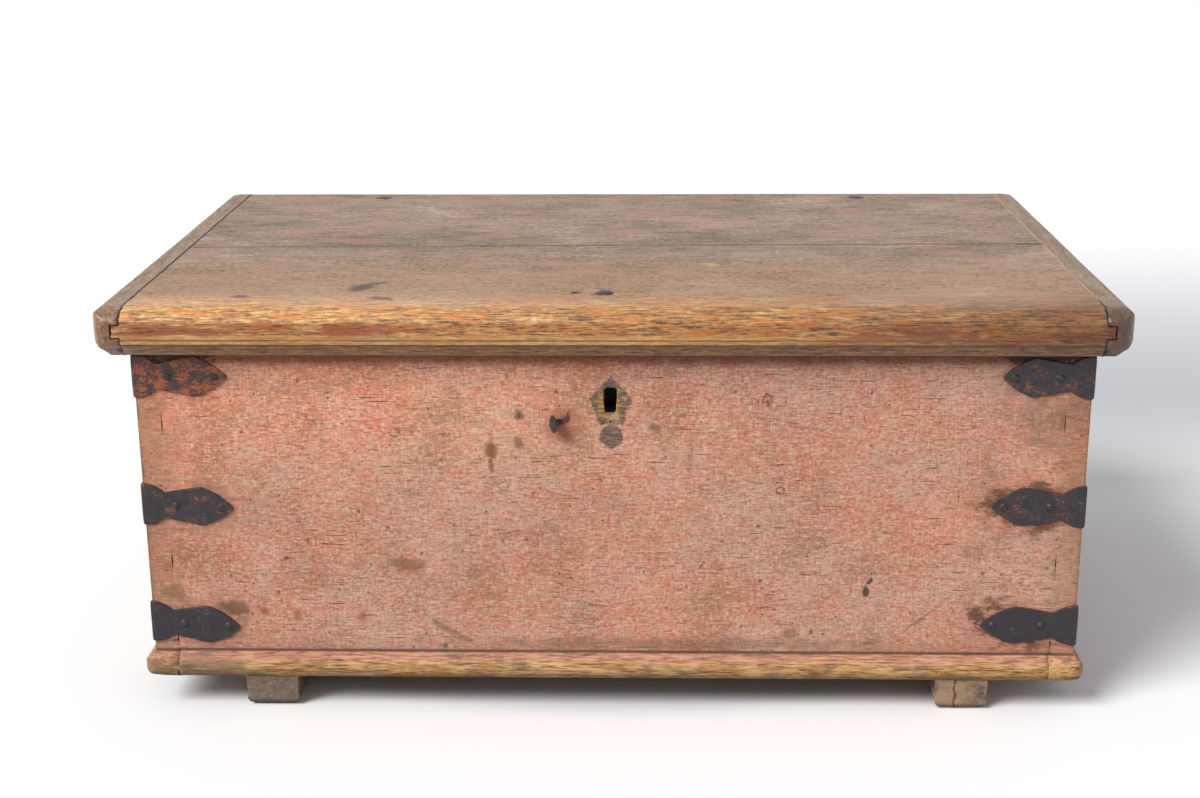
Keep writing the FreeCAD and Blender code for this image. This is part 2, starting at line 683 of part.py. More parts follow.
def base_end_waste(side):
    """What the lower outer edge of a bottom end has lost to wear."""
    corner = Vector(side * base_outer_x, base_front_y - overrun, base_z)
    start = corner + Vector(0, 0, base_end_wear_height)
    end = corner - Vector(side * base_end_wear_width, 0, 0)
    out = Vector(side * overrun, 0, 0)
    below = Vector(0, 0, -overrun)
    edges = [round_edge(start, corner, end)]
    edges += lines([end, end + below, corner + out + below, start + out, start])
    return solid_along(edges, Vector(0, back_y - base_front_y + 2 * overrun, 0))


first_seam_y = base_front_y + base_front_board_width
second_seam_y = first_seam_y + base_middle_board_width
bottom_seams = [(first_seam_y, first_seam_y), (second_seam_y, second_seam_y)]
bottom_boards = panel(base_outline, bottom_seams, base_seam_x, base_tongue_length, base_tongue_low,
                      base_tongue_high, base_tongue_stop, base_z, wall_z)

# Nails up through the bottom into the walls, and up through the runners into the bottom
up = Vector(0, 0, 1)
bottom_nails = []
for share in bottom_nail_front_shares:
    nail_x = share * bottom_nail_reach
    for nail_y in (front_y + board / 2, back_y - board / 2):
        bottom_nails.append(placed(bottom_nail, Vector(nail_x, nail_y, base_z), up))
for share in bottom_nail_side_shares:
    for nail_x in (-half_width + board / 2, half_width - board / 2):
        bottom_nails.append(placed(bottom_nail, Vector(nail_x, front_y + share * case_depth, base_z), up))
runner_front = front_y - base_underside_projection
runner_length = back_y - runner_front
runner_nails = []
runner_pockets = []
head_half = long_nail_head_width / 2
head_z = runner_nail_recess + long_nail_head_height
for side in (-1, 1):
    for share in runner_nail_shares:
        seat = Vector(runner_middles[side], runner_front + share * runner_length, head_z)
        runner_nails.append(placed(runner_nail, seat, up))
        runner_pockets.append(box(Vector(seat.x - head_half, seat.y - head_half, -overrun),
                                  Vector(seat.x + head_half, seat.y + head_half, head_z)))
nails_below = bottom_nails + runner_nails
for name, piece in zip(("front", "middle", "rear"), bottom_boards):
    parts[f"bottom_board_{name}"] = piece.cut(nails_below)
for side, side_name in ((-1, "left"), (1, "right")):
    bottom_end = panel_end(base_outline, base_end_outline, side, base_seam_x, base_outer_x,
                           base_tongue_length, base_tongue_low, base_tongue_high, base_tongue_stop,
                           base_corner_round)
    parts[f"bottom_end_{side_name}"] = bottom_end.cut([base_end_waste(side)] + bottom_nails)
parts["bottom_nails"] = Part.makeCompound(bottom_nails)
parts["runner_nails"] = Part.makeCompound(runner_nails)


def runner(side):
    """A foot rail with its lower edges and its front lower edge rounded."""
    middle = runner_middles[side]
    low_x = middle - runner_width / 2
    high_x = middle + runner_width / 2

    def section(x, z):
        return Vector(x, runner_front, z)

    round_low = section(low_x, runner_side_round)
    round_high = section(high_x, runner_side_round)
    flat_low = section(low_x + runner_side_round, 0)
    flat_high = section(high_x - runner_side_round, 0)
    edges = lines([round_high, section(high_x, base_z), section(low_x, base_z), round_low])
    edges += [round_edge(round_low, section(low_x, 0), flat_low), Part.makeLine(flat_low, flat_high),
              round_edge(flat_high, section(high_x, 0), round_high)]
    rail = solid_along(edges, Vector(0, runner_length, 0))
    tip_low = Vector(low_x, runner_front, 0)
    tip_back = tip_low + Vector(0, runner_front_round, 0)
    tip_up = tip_low + Vector(0, 0, runner_front_round)
    waste = [round_edge(tip_back, tip_low, tip_up)] + lines([tip_up, tip_low, tip_back])
    return rail.cut(solid_along(waste, Vector(runner_width, 0, 0))).cut(runner_pockets + runner_nails)


parts["runner_left"] = runner(-1)
parts["runner_right"] = runner(1)


# Case boards: the end boards carry the pins, the front and back boards carry the tails
def pin_spans(gap):
    """Heights of each pin at the corner and at its root, wider by the gap."""
    spans = []
    for share in pin_height_shares:
        middle = wall_z + share * case_height
        edge = pin_edge_width / 2 + gap
        root = pin_root_width / 2 + gap
        spans.append((middle - edge, middle + edge, middle - root, middle + root))
    edge = half_pin_edge_width + gap
    root = half_pin_root_width + gap
    spans.append((wall_z, wall_z + edge, wall_z, wall_z + root))
    spans.append((rim_z - edge, rim_z, rim_z - root, rim_z))
    return spans


def pins(side, y, gap):
    """The pins of one corner, as thick as the board that they pass through."""
    edge_x = side * half_width
    root_x = side * (half_width - board)
    solids = []
    for edge_low, edge_high, root_low, root_high in pin_spans(gap):
        outline = [Vector(edge_x, y, edge_low), Vector(edge_x, y, edge_high),
                   Vector(root_x, y, root_high), Vector(root_x, y, root_low)]
        solids.append(solid_along(closed_lines(outline), Vector(0, board, 0)))
    return solids


def tail_board(y):
    """A front or back board with its sockets cut at both ends."""
    blank = box(Vector(-half_width, y, wall_z), Vector(half_width, y + board, rim_z))
    return blank.cut(pins(-1, y, joint_gap) + pins(1, y, joint_gap))


def pin_board(side):
    """An end board with pins at its front and its back."""
    near = side * half_width
    far = side * (half_width - board)
    slab = box(Vector(min(near, far), front_inner_y, wall_z), Vector(max(near, far), back_inner_y, rim_z))
    return slab.fuse(pins(side, front_y, 0) + pins(side, back_inner_y, 0)).removeSplitter()


strap_and_bottom_nails = strap_nails + bottom_nails
front_cuts = strap_and_bottom_nails + lock_nails + [keyhole, parts["bent_nail"]]
parts["front_board"] = tail_board(front_y).cut(front_cuts)
parts["back_board"] = tail_board(back_inner_y).cut(strap_and_bottom_nails + hinge_staples)
for side, side_name in ((-1, "left"), (1, "right")):
    parts[f"{side_name}_end_board"] = pin_board(side).cut(strap_and_bottom_nails)

# One file for each piece
os.makedirs("parts", exist_ok=True)
for name, shape in parts.items():
    shape.exportStep(f"parts/{name}.step")
    print(name, len(shape.Solids), round(shape.Volume), shape.isValid())
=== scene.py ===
# %% [markdown]
# # A painted blanket chest
# The real chest is a box of pine boards, dovetailed at the corners, painted a thin pink long ago, bound with
# forged corner straps and closed by a thick lid. Its boards, irons and joints are already modelled to size.
# This lesson loads that model as a fixed frame and gives every piece its wear, its grain and its colour.
# Nothing in the frame is moved: a worn piece is a copy that stands where its clean board stands.

# %% Load the fixed frame
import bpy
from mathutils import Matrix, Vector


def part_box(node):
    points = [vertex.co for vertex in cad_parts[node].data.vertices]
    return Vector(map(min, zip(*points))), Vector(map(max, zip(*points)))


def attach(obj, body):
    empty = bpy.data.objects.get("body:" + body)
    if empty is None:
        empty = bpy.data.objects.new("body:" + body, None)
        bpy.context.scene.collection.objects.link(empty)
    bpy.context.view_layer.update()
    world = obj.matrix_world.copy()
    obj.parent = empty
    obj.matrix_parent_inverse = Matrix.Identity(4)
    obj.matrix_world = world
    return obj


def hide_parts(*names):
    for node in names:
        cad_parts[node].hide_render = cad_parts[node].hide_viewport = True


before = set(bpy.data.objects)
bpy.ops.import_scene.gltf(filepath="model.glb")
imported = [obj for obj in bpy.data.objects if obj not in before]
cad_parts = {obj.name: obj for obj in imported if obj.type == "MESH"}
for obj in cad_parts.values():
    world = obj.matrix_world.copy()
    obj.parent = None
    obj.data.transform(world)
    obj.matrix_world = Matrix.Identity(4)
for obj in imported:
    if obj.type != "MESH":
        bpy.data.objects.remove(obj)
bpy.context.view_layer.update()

# %% [markdown]
# ## Where the chest's faces lie
# A mark on the front or a worn edge on the lid has to follow the boards, so the planes that the marks hang on
# are read from the frame and not typed in. All lengths are metres, and mm keeps small sizes readable.

# %% Read the planes of the chest
import math

import bmesh
import bpy
from mathutils import Matrix, Vector, noise

mm = 0.001
case_low, case_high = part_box("front_board")
_, back_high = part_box("back_board")
lid_low, lid_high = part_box("lid_front_board")
_, base_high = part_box("bottom_board_front")
front_y = case_low.y
back_y = back_high.y
wall_z = case_low.z
rim_z = case_high.z
nose_y = lid_low.y
lid_top_z = lid_high.z
half_width = case_high.x
print("case front at Y", round(front_y / mm, 1), "rim at Z", round(rim_z / mm, 1), "mm")

# %% [markdown]
# ## The camera
# The photograph was taken from a little above the lid and almost square to the front. Its focal length and
# place were worked out from the corners of the case, so the camera is written as a place, three small turns
# and a focal length in pixels of a picture 1200 pixels wide.

# %% Set up the camera
photo_width_px = 1200
focal_px = 1837.45
sensor_width = 36.0
camera_place = Vector((39.2, -2068.6, 866.0)) * mm
yaw = -0.0281
pitch = 0.2907
roll = 0.0061
forward = Vector((math.sin(yaw) * math.cos(pitch), math.cos(yaw) * math.cos(pitch), -math.sin(pitch)))
level_right = Vector((math.cos(yaw), -math.sin(yaw), 0))
level_down = forward.cross(level_right)
camera_right = math.cos(roll) * level_right + math.sin(roll) * level_down
camera_down = math.cos(roll) * level_down - math.sin(roll) * level_right
camera_turn = Matrix((camera_right, -camera_down, -forward)).transposed()
camera = bpy.data.objects.new("photo_camera", bpy.data.cameras.new("photo_camera"))
camera.data.sensor_width = sensor_width
camera.data.lens = focal_px / photo_width_px * sensor_width
camera.matrix_world = Matrix.Translation(camera_place) @ camera_turn.to_4x4()
bpy.context.scene.collection.objects.link(camera)
bpy.context.scene.camera = camera
bpy.context.scene.view_settings.view_transform = "Standard"
print("lens", round(camera.data.lens, 2), "mm")

# %% [markdown]
# ## Writing nodes as sums
# A finish is a chain of many small nodes. Wiring each one by hand hides the idea, so one small class wraps a
# socket: a sum of two wires adds a Math node, vector adds a Vector Math node, and node adds any other kind.
# The same class serves the shaders and the Geometry Nodes trees below.


# %% One class for every socket
class Wire:
    """A node socket. Sums with wires and numbers add Math nodes to its tree."""

    def __init__(self, tree, socket=None):
        self.tree = tree
        self.socket = socket

    def node(self, kind, settings=None, sockets=None, output=0):
        """Adds a node: its settings first, then the values or links of its sockets; gives one output."""
        made = self.tree.nodes.new(kind)
        for name, value in (settings or {}).items():
            setattr(made, name, value)
        for name, value in (sockets or {}).items():
            if isinstance(value, Wire):
                self.tree.links.new(value.socket, made.inputs[name])
            else:
                made.inputs[name].default_value = value
        return Wire(self.tree, made.outputs[output] if made.outputs else None)

    def other(self, output):
        """Another output of the node that this wire comes from."""
        return Wire(self.tree, self.socket.node.outputs[output])

    def maths(self, operation, first, second):
        return self.node("ShaderNodeMath", {"operation": operation}, {0: first, 1: second})

    def vector(self, operation, sockets=None, output=0):
        """A Vector Math node on this wire, with the values or links of its other sockets."""
        given = {0: self, **(sockets or {})}
        return self.node("ShaderNodeVectorMath", {"operation": operation}, given, output)

    def __add__(self, other):
        return self.maths("ADD", self, other)

    def __sub__(self, other):
        return self.maths("SUBTRACT", self, other)

    def __rsub__(self, other):
        return self.maths("SUBTRACT", other, self)

    def __mul__(self, other):
        return self.maths("MULTIPLY", self, other)

    def __truediv__(self, other):
        return self.maths("DIVIDE", self, other)

    def __rtruediv__(self, other):
        return self.maths("DIVIDE", other, self)

    def __abs__(self):
        return self.maths("ABSOLUTE", self, 0)

    __radd__ = __add__


print("wires add, subtract, multiply and divide")

# %% [markdown]
# ## The brushes of the finishes
# Old paint is layers: wood, paint, rubbed places, dirt. Each layer here is a mask from 0 to 1, and a colour
# is mixed in by that mask. Clouds (noise drawn out along the grain), dots (scattered pits), blots (one stain
# at a known place) and smooth (a soft step) make nearly all masks. Lay puts several coats of colour over one
# another, shades steps through several colours as a mask rises, and ragged pushes a point about, so that
# what is drawn with it has no clean outline. Colours are written as the red, green and blue that a picture
# shows, and tone turns them into light.


# %% Colours and soft steps
def tone(red, green, blue):
    """A colour as a picture shows it, 0 to 255, as linear light."""
    def light(level):
        share = level / 255
        return share / 12.92 if share <= 0.04045 else ((share + 0.055) / 1.055) ** 2.4
    return (light(red), light(green), light(blue), 1.0)


def smooth(value, low, high):
    """A soft step: 0 at low and beyond, 1 at high and beyond."""
    return value.node("ShaderNodeMapRange", {"interpolation_type": "SMOOTHSTEP"},
                      {"Value": value, "From Min": low, "From Max": high})


def blend(share, under, over, way="MIX"):
    """Lays one colour over another by a mask."""
    maker = share if isinstance(share, Wire) else under
    return maker.node("ShaderNodeMix", {"data_type": "RGBA", "blend_type": way},
                      {0: share, 6: under, 7: over}, output=2)


def lay(colour, *coats):
    """Lays coats over a colour in turn; each is a mask, a colour and, if not a plain mix, a way to blend."""
    for share, *over in coats:
        colour = blend(share, colour, *over)
    return colour


def shades(value, *stops):
    """Steps through several colours as a mask rises; each stop is a place on the mask and its colour."""
    (last, colour), *rest = stops
    for place, shade in rest:
        colour = blend(smooth(value, last, place), colour, shade)
        last = place
    return colour


def axes(point):
    """The three coordinates of a point, each a wire."""
    across = point.node("ShaderNodeSeparateXYZ", sockets={0: point})
    return across, across.other(1), across.other(2)


print("a tone of mid grey is", round(tone(128, 128, 128)[0], 3))


# %% Clouds, ragged edges, dots and blots
along_x = (1, 0, 0)
along_y = (0, 1, 0)
upright = (0, 0, 1)
noise_swing = 0.25
pit_core_share = 0.5
lot_edge_share = 0.9


def drawn(way, times):
    """How far noise is drawn out on each axis, for a grain that runs that way."""
    return [1 + (times - 1) * share for share in way]


def spread(point, size, draw):
    """The point in units of that size, drawn out along each axis."""
    return point.vector("MULTIPLY", {1: [1 / (size * stretch) for stretch in draw]})


def clouds(point, size, draw=(1, 1, 1), detail=4.0, seed=0.0, rough=0.55):
    """Noise from 0 to 1 with lumps of about that size, drawn out along each axis."""
    scaled = spread(point, size, draw)
    return scaled.node("ShaderNodeTexNoise", {"noise_dimensions": "4D"},
                       {"Vector": scaled, "W": seed, "Scale": 1.0, "Detail": detail, "Roughness": rough})


def grained(point, way):
    """A maker of clouds along one grain: it takes a size in millimetres and how far to draw it out."""
    def make(size_mm, times, *rest, **more):
        return clouds(point, size_mm * mm, drawn(way, times), *rest, **more)
    return make


def ragged(point, size, reach):
    """The point pushed about by noise, so that what is drawn with it has a ragged outline."""
    drift = clouds(point, size, detail=6.0, seed=7.0, rough=0.7).other("Color")
    centred = drift.vector("SUBTRACT", {1: (0.5, 0.5, 0.5)})
    return point.vector("ADD", {1: centred.vector("SCALE", {"Scale": reach / noise_swing})})


def dots(point, cell, radius, chosen_share, draw=(1, 1, 1)):
    """Scattered pits: in each cell at most one, and only in the chosen share of the cells."""
    scaled = spread(point, cell, draw)
    reach = scaled.node("ShaderNodeTexVoronoi", {"feature": "F1"}, {"Vector": scaled, "Scale": 1.0})
    lot, _, _ = axes(reach.other("Color"))
    pit = smooth(reach, radius / cell, radius / cell * pit_core_share)
    return pit * smooth(lot, chosen_share, chosen_share * lot_edge_share)


def blot(point, place, half_size, turn=(0, 0, 0), edge_share=0.5):
    """One stain at a known place: 1 inside, fading to 0 over the edge's share of its half size."""
    local = point.node("ShaderNodeMapping", {"vector_type": "TEXTURE"},
                       {"Vector": point, "Location": place, "Rotation": turn, "Scale": half_size})
    return smooth(local.vector("LENGTH", output="Value"), 1.0, 1.0 - edge_share)


def worn_edge(point):
    """1 on the eased arrises of a worn board and on the rim of a strap, 0 elsewhere."""
    return point.node("ShaderNodeAttribute", {"attribute_name": "worn_edge"}, output="Fac")


print("brushes ready")

# %% Open and close a finish
polish_roughness = 0.28


def new_finish(name):
    """A material with an empty tree, and the point of the surface that its patterns follow."""
    material = bpy.data.materials.new(name)
    material.use_nodes = True
    material.node_tree.nodes.clear()
    return material, Wire(material.node_tree).node("ShaderNodeTexCoord", output="Object")


def close_finish(colour, roughness, height, relief, coat=0.0):
    """Ends a material: colour, roughness, a relief of that depth and a coat of polish make one shader."""
    bump = height.node("ShaderNodeBump", {}, {"Height": height, "Distance": relief, "Strength": 1.0})
    shader = bump.node("ShaderNodeBsdfPrincipled", {}, {
        "Base Color": colour, "Roughness": roughness, "Coat Weight": coat, "Coat Roughness": polish_roughness,
        "Normal": bump})
    shader.node("ShaderNodeOutputMaterial", {}, {"Surface": shader})


print("a finish ends in one shader with a relief")

# %% [markdown]
# ## Floor and light
# The chest stands on a white studio sweep under one broad soft light from the front left, with the white
# room as fill. A sun with a wide disc gives such a soft even light over the whole floor. Far back on the
# right the sweep lies in shade, and the shadow under the bottom is deeper than one sun makes it, so both
# are painted into the paper as shadows. Rays that the camera, a reflection or glass sends past the floor
# find plain white.

# %% Make the floor
floor_reach = 15.0
floor_mesh = bpy.data.meshes.new("studio_floor")
floor_corners = [(-1, -1), (1, -1), (1, 1), (-1, 1)]
floor_mesh.from_pydata([(x * floor_reach, y * floor_reach, 0) for x, y in floor_corners], [], [(0, 1, 2, 3)])
floor = bpy.data.objects.new("studio_floor", floor_mesh)
bpy.context.scene.collection.objects.link(floor)


def straight_rays(wire):
    """1 for rays that the camera, a reflection or glass sends, and 0 for the light that bounces about."""
    camera_rays = wire.node("ShaderNodeLightPath", output="Is Camera Ray")
    return camera_rays + camera_rays.other("Is Glossy Ray") + camera_rays.other("Is Transmission Ray")


floor_paper, floor_point = new_finish("floor_paper")
paper_tooth = clouds(floor_point, 2 * mm)
floor_across, floor_depth, _ = axes(floor_point)
# painted shadows in the paper: a grey shade far back on the right and a deeper shade under the chest
painted_far_shadow = tone(188, 189, 193)
painted_under_shadow = tone(226, 224, 228)
bounce_grey = tone(130, 130, 134)
far_near_y, far_full_y, far_fade_y, far_end_y = 0.3, 0.9, 0.7, 2.4
far_left_x, far_full_x = 0.45, 0.75
under_half_size = (0.53, 0.34, 1.0)
under_edge_share = 0.16
far_shade = smooth(floor_depth, far_near_y, far_full_y) * smooth(floor_depth, far_end_y, far_fade_y)
under_shade = blot(floor_point, (0, 0, 0), under_half_size, edge_share=under_edge_share)
paper_white = lay(
    tone(254, 254, 254),
    (paper_tooth, tone(255, 255, 255)),
    (far_shade * smooth(floor_across, far_left_x, far_full_x), painted_far_shadow),
    (under_shade, painted_under_shadow))
paper = blend(straight_rays(floor_point), bounce_grey, paper_white)
close_finish(paper, 0.9, paper_tooth, 0.05 * mm)
floor_mesh.materials.append(floor_paper)
print("floor", 2 * floor_reach, "m wide")

# %% Light it with a sun and a white room
key_side = math.radians(-52)
key_rise = math.radians(43)
key_strength = 2.8
key_disc = math.radians(30)
to_key = Vector((math.sin(key_side) * math.cos(key_rise), -math.cos(key_side) * math.cos(key_rise),
                 math.sin(key_rise)))
key = bpy.data.objects.new("soft_key", bpy.data.lights.new("soft_key", "SUN"))
key.data.energy = key_strength
key.data.angle = key_disc
key.rotation_mode = "QUATERNION"
key.rotation_quaternion = (-to_key).to_track_quat("-Z", "Y")
bpy.context.scene.collection.objects.link(key)

room_fill = 0.46
room = bpy.data.worlds.new("white_room")
bpy.context.scene.world = room
room.use_nodes = True
room.node_tree.nodes.clear()
room_start = Wire(room.node_tree)
fill = room_start.node("ShaderNodeBackground", {}, {"Color": tone(250, 250, 255), "Strength": room_fill})
white = room_start.node("ShaderNodeBackground", {}, {"Color": tone(255, 255, 255), "Strength": 1.0})
walls = room_start.node("ShaderNodeMixShader", {}, {0: straight_rays(room_start), 1: fill, 2: white})
walls.node("ShaderNodeOutputWorld", {}, {"Surface": walls})
print("key light from", [round(share, 2) for share in to_key], "fill", room_fill)

# %% [markdown]
# ## Bare pine
# The inside of the case, the rims and the underside of the lid never had paint. Old bare pine is tan, with
# darker summer grain and a grey bloom of dust. The grain is noise drawn out far along the board, so one
# function serves boards that run across the chest and boards that run front to back.


# %% Bare pine
def bare_pine(name, grain_way):
    material, point = new_finish(name)
    along = grained(point, grain_way)
    bands = smooth(along(12, 16, 6.0, rough=0.62), 0.36, 0.62)
    lines = smooth(along(1.5, 40, 3.0, 2.0), 0.48, 0.64)
    dust = smooth(clouds(point, 120 * mm, seed=3.0), 0.4, 0.65)
    pits = dots(point, 30 * mm, 2.2 * mm, 0.4)
    colour = lay(
        tone(178, 138, 98),
        (bands, tone(150, 110, 74)),
        (lines * 0.6, tone(108, 76, 50)),
        (dust * 0.35, tone(150, 132, 112)),
        (pits * 0.7, tone(70, 50, 38)))
    close_finish(colour, 0.82 - lines * 0.1, bands * 0.4 - lines - pits, 0.35 * mm)
    return material


bare_lengthways = bare_pine("bare_pine_lengthways", along_x)
bare_crossways = bare_pine("bare_pine_crossways", along_y)
print("bare pine for both ways of the grain")

# %% [markdown]
# ## Painted pine
# The case wears one thin coat of pink. It is rubbed to beige in cloudy patches, the ridges of the grain show
# through as fine pale lines, the brush left upright streaks, and dirt has settled along the foot and in every
# dent. Just under the lid, dirt and a painted shade of the lid's overhang darken the paint. One function lays
# those coats; each wall hands it the way of its grain, its stains, its share of wear and, on the front, its
# own history, with a painted light high on the left and a painted shade in the keyhole.

# %% Painted pine
coral = tone(232, 144, 114)
salmon = tone(226, 156, 128)
faded_pink = tone(216, 170, 144)
worn_beige = tone(206, 166, 132)
rubbed_tan = tone(176, 132, 102)
old_dirt = tone(104, 76, 60)
rust_stain = tone(150, 96, 64)


def painted_pine(name, grain_way, stains, worn_share=0.5, history=None):
    material, point = new_finish(name)
    across, depth, height = axes(point)
    along, rising = grained(point, grain_way), grained(point, upright)
    patches = along(110, 1.5, 7.0, rough=0.6)
    mottle = along(13, 1.8, 6.0, 1.0, 0.65)
    grain = along(2.4, 1.7, 3.0, 2.0, 0.62)
    fibres = along(1.6, 8, 3.0, 3.0)
    strokes = rising(1.9, 7, 3.0, 4.0)
    rubs = along(42, 1.6, 8.0, 5.0, 0.66)
    cracks = smooth(along(1.4, 22, 2.0, 6.0), 0.63, 0.7) * smooth(along(60, 2, seed=7.0), 0.44, 0.56)
    shade = rising(75, 1.3, 7.0, 9.0, 0.62)
    specks = along(4.5, 1.6, 4.0, 10.0, 0.68)
    rough_point = ragged(point, 3 * mm, 1.5 * mm)
    pits = dots(rough_point, 29 * mm, 2.8 * mm, 0.55)
    pits = pits.maths("MAXIMUM", pits, dots(rough_point, 11 * mm, 1.4 * mm, 0.5))
    hue = patches * 0.55 + mottle * 0.45 + (grain - 0.5) * 0.55 + (worn_share - 0.5) * 0.4
    light = grain * 0.55 + fibres * 0.4 + strokes * 0.25
    foot = smooth(height + patches * (34 * mm), wall_z + 40 * mm, wall_z + 12 * mm)
    foot_line = smooth(height, wall_z + 2.2 * mm, wall_z + 1.2 * mm)
    # dirt and a painted shade of the lid's overhang darken the top of each wall
    under_lid_dirt_and_shade = smooth(height - mottle * (16 * mm), rim_z - 26 * mm, rim_z - 13 * mm)
    lengthways = grain_way == along_x
    from_middle = abs(across) if lengthways else abs(depth - (front_y + back_y) / 2)
    half_wall = half_width if lengthways else (back_y - front_y) / 2
    corner = smooth(from_middle + rubs * (90 * mm), half_wall + 5 * mm, half_wall + 42 * mm)
    colour = lay(
        shades(hue, (0.36, coral), (0.47, salmon), (0.57, faded_pink), (0.68, worn_beige)),
        (smooth(rubs, 0.54, 0.66) * 0.6, rubbed_tan),
        (smooth(shade, 0.52, 0.34) * 0.42, tone(160, 114, 80)),
        (smooth(shade, 0.5, 0.66) * 0.3, tone(238, 188, 164)),
        (smooth(specks, 0.6, 0.72) * 0.55, tone(178, 104, 72)),
        (smooth(specks, 0.38, 0.28) * 0.6, tone(152, 118, 92)),
        (smooth(light, 0.6, 0.5) * 0.56, tone(154, 102, 78)),
        (smooth(light, 0.61, 0.71) * 0.62, tone(250, 214, 186)),
        (cracks * 0.85, tone(92, 66, 52)),
        (pits * 0.7, old_dirt),
        (foot * 0.4, tone(144, 106, 82)),
        (foot_line * 0.85, tone(58, 42, 34)),
        (under_lid_dirt_and_shade * 0.7, tone(124, 70, 46)),
        (corner * 0.5, tone(162, 114, 80)))
    ragged_point = ragged(point, 9 * mm, 3.5 * mm)
    torn = (mottle - 0.5) * 2.6 + (grain - 0.5) * 1.6
    for place, half_size, turn, stain, strength in stains:
        stained = smooth(blot(ragged_point, place, half_size, turn, 1.0) + torn, 0.35, 0.8)
        colour = blend(stained * blot(point, place, half_size, turn, 0.4) * strength, colour, stain)
    if history:
        colour = history(point, colour)
    colour = blend(smooth(worn_edge(point) + mottle * 0.8, 1.1, 1.5) * 0.6, colour, tone(128, 92, 68))
    relief = fibres * 0.6 + strokes * 0.3 + grain * 0.6 - cracks * 1.4 - pits * 1.6
    close_finish(colour, 0.92 - smooth(fibres, 0.5, 0.7) * 0.12, relief, 0.3 * mm)
    return material


print("painted pine takes a grain way, stains and a share of wear")

# %% [markdown]
# ## The stains of each wall
# A stain is a place, a half size, a turn, a colour and a strength. Round every strap, rust and dirt have
# crept into the paint, so each leaf leaves two haloes round its belly. The front also has stains of its own:
# knots, a brown diamond, spilt wax, ink, the scar of a knife and the ghost of a lost keyhole plate. Two
# marks in the ink colour, above the upper straps, are a painted shade under the lid. Their places were read
# off the photograph and are written in millimetres from the middle of the front and from the foot of the
# case.

# %% List the stains
ink = tone(62, 52, 48)
knot_brown = tone(146, 96, 64)
wax_brown = tone(150, 108, 66)
barn_red = tone(176, 84, 66)
through = 500 * mm
halo_strengths = {
    "strap_front_right_lower": 1.0, "strap_front_right_middle": 1.0, "strap_front_right_upper": 0.35,
    "strap_front_left_upper": 0.1, "strap_front_left_middle": 0.35, "strap_front_left_lower": 0.45,
}
other_halo_strength = 0.6
strap_nodes = sorted(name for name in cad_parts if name.startswith("strap_") and name != "strap_nails")


def strap_stains(wall_name):
    """Rust and dirt round the belly of each strap's leaf on one wall."""
    found = []
    wall_low, wall_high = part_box(wall_name)
    flat_y = wall_high.y - wall_low.y < wall_high.x - wall_low.x
    touch_gap = 1 * mm
    belly_share = 0.24
    belly_reach_share = 0.76
    haloes = ((2.5, rust_stain, 0.75), (1.95, old_dirt, 0.8))
    for name in strap_nodes:
        low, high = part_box(name)
        near_y = low.y < wall_high.y + touch_gap and high.y > wall_low.y - touch_gap
        near_x = low.x < wall_high.x + touch_gap and high.x > wall_low.x - touch_gap
        if near_x and near_y:
            middle, size = (low + high) / 2, (high - low) / 2
            along = size.x if flat_y else size.y
            inward = Vector((-middle.x, 0, 0)) if flat_y else Vector((0, -middle.y, 0))
            belly = middle + inward.normalized() * along * belly_share
            for growth, stain, strength in haloes:
                reach, rise = along * belly_reach_share * growth, size.z * growth
                half_size = (reach, through, rise) if flat_y else (through, reach, rise)
                halo = strength * halo_strengths.get(name, other_halo_strength)
                found.append((belly, half_size, (0, 0, 0), stain, halo))
    return found


torn_growth = 1.45


def front_stain(across, rise, half_width_mm, half_height_mm, stain, strength, lean=0.0):
    """A stain on the front, in millimetres from its middle and from its foot."""
    place = (across * mm, front_y, wall_z + rise * mm)
    half_size = (half_width_mm * torn_growth * mm, through, half_height_mm * torn_growth * mm)
    return (place, half_size, (0, math.radians(lean), 0), stain, strength)


front_marks = (
    (-121, 222, 9, 15, knot_brown, 0.85),
    (-121, 222, 3.5, 30, knot_brown, 0.8),
    (-455, 66, 17, 10, wax_brown, 0.7),
    (-211, 97, 22, 13, wax_brown, 0.8),
    (-362, 45, 6, 5, barn_red, 0.7),
    (-328, 40, 6, 7, barn_red, 0.6),
    (-262, 39, 8, 7, barn_red, 0.65),
    (-92, 259, 6, 8, old_dirt, 0.65),
    (-93, 229, 7, 9, old_dirt, 0.6),
    (45, 247, 7, 6, old_dirt, 0.55),
    (262, 70, 4, 8, ink, 0.9),
    (266, 80, 2.5, 6, ink, 0.85, 35),
    (186, 24, 9, 12, wax_brown, 0.6),
    (-165, 22, 36, 6, old_dirt, 0.55, 28),
    (320, 38, 28, 2, wax_brown, 0.7, -38),
    (-46, 250, 26, 24, tone(176, 104, 78), 0.6),
    # painted shade under the lid's overhang, in the notches above the upper straps, drawn in the ink colour
    (-440, 321, 60, 15, ink, 1.0),
    (440, 321, 70, 15, ink, 1.0),
    (378, 42, 13, 13, ink, 0.6),
    (-394, 48, 20, 12, old_dirt, 0.6),
    (440, 250, 40, 34, tone(136, 106, 80), 0.4),
    (-455, 235, 34, 40, tone(150, 112, 84), 0.3),
    (60, 10, 300, 9, old_dirt, 0.35),
    (80, 222, 4, 30, knot_brown, 0.35),
)
front_stains = strap_stains("front_board") + [front_stain(*mark) for mark in front_marks]
print(len(front_stains), "stains on the front,", len(strap_stains("left_end_board")), "on each end")

# %% Make the four walls' paint
keyhole_z = rim_z - 49 * mm
painted_light_gain = (1.27, 1.2, 1.13, 1.0)


def front_mark(point, across, rise, half_x, half_z, edge_share=0.5):
    """A small mark near the keyhole, in millimetres from the keyhole's middle."""
    return blot(point, (across * mm, front_y, keyhole_z + rise * mm), (half_x * mm, through, half_z * mm),
                (0, 0, 0), edge_share)


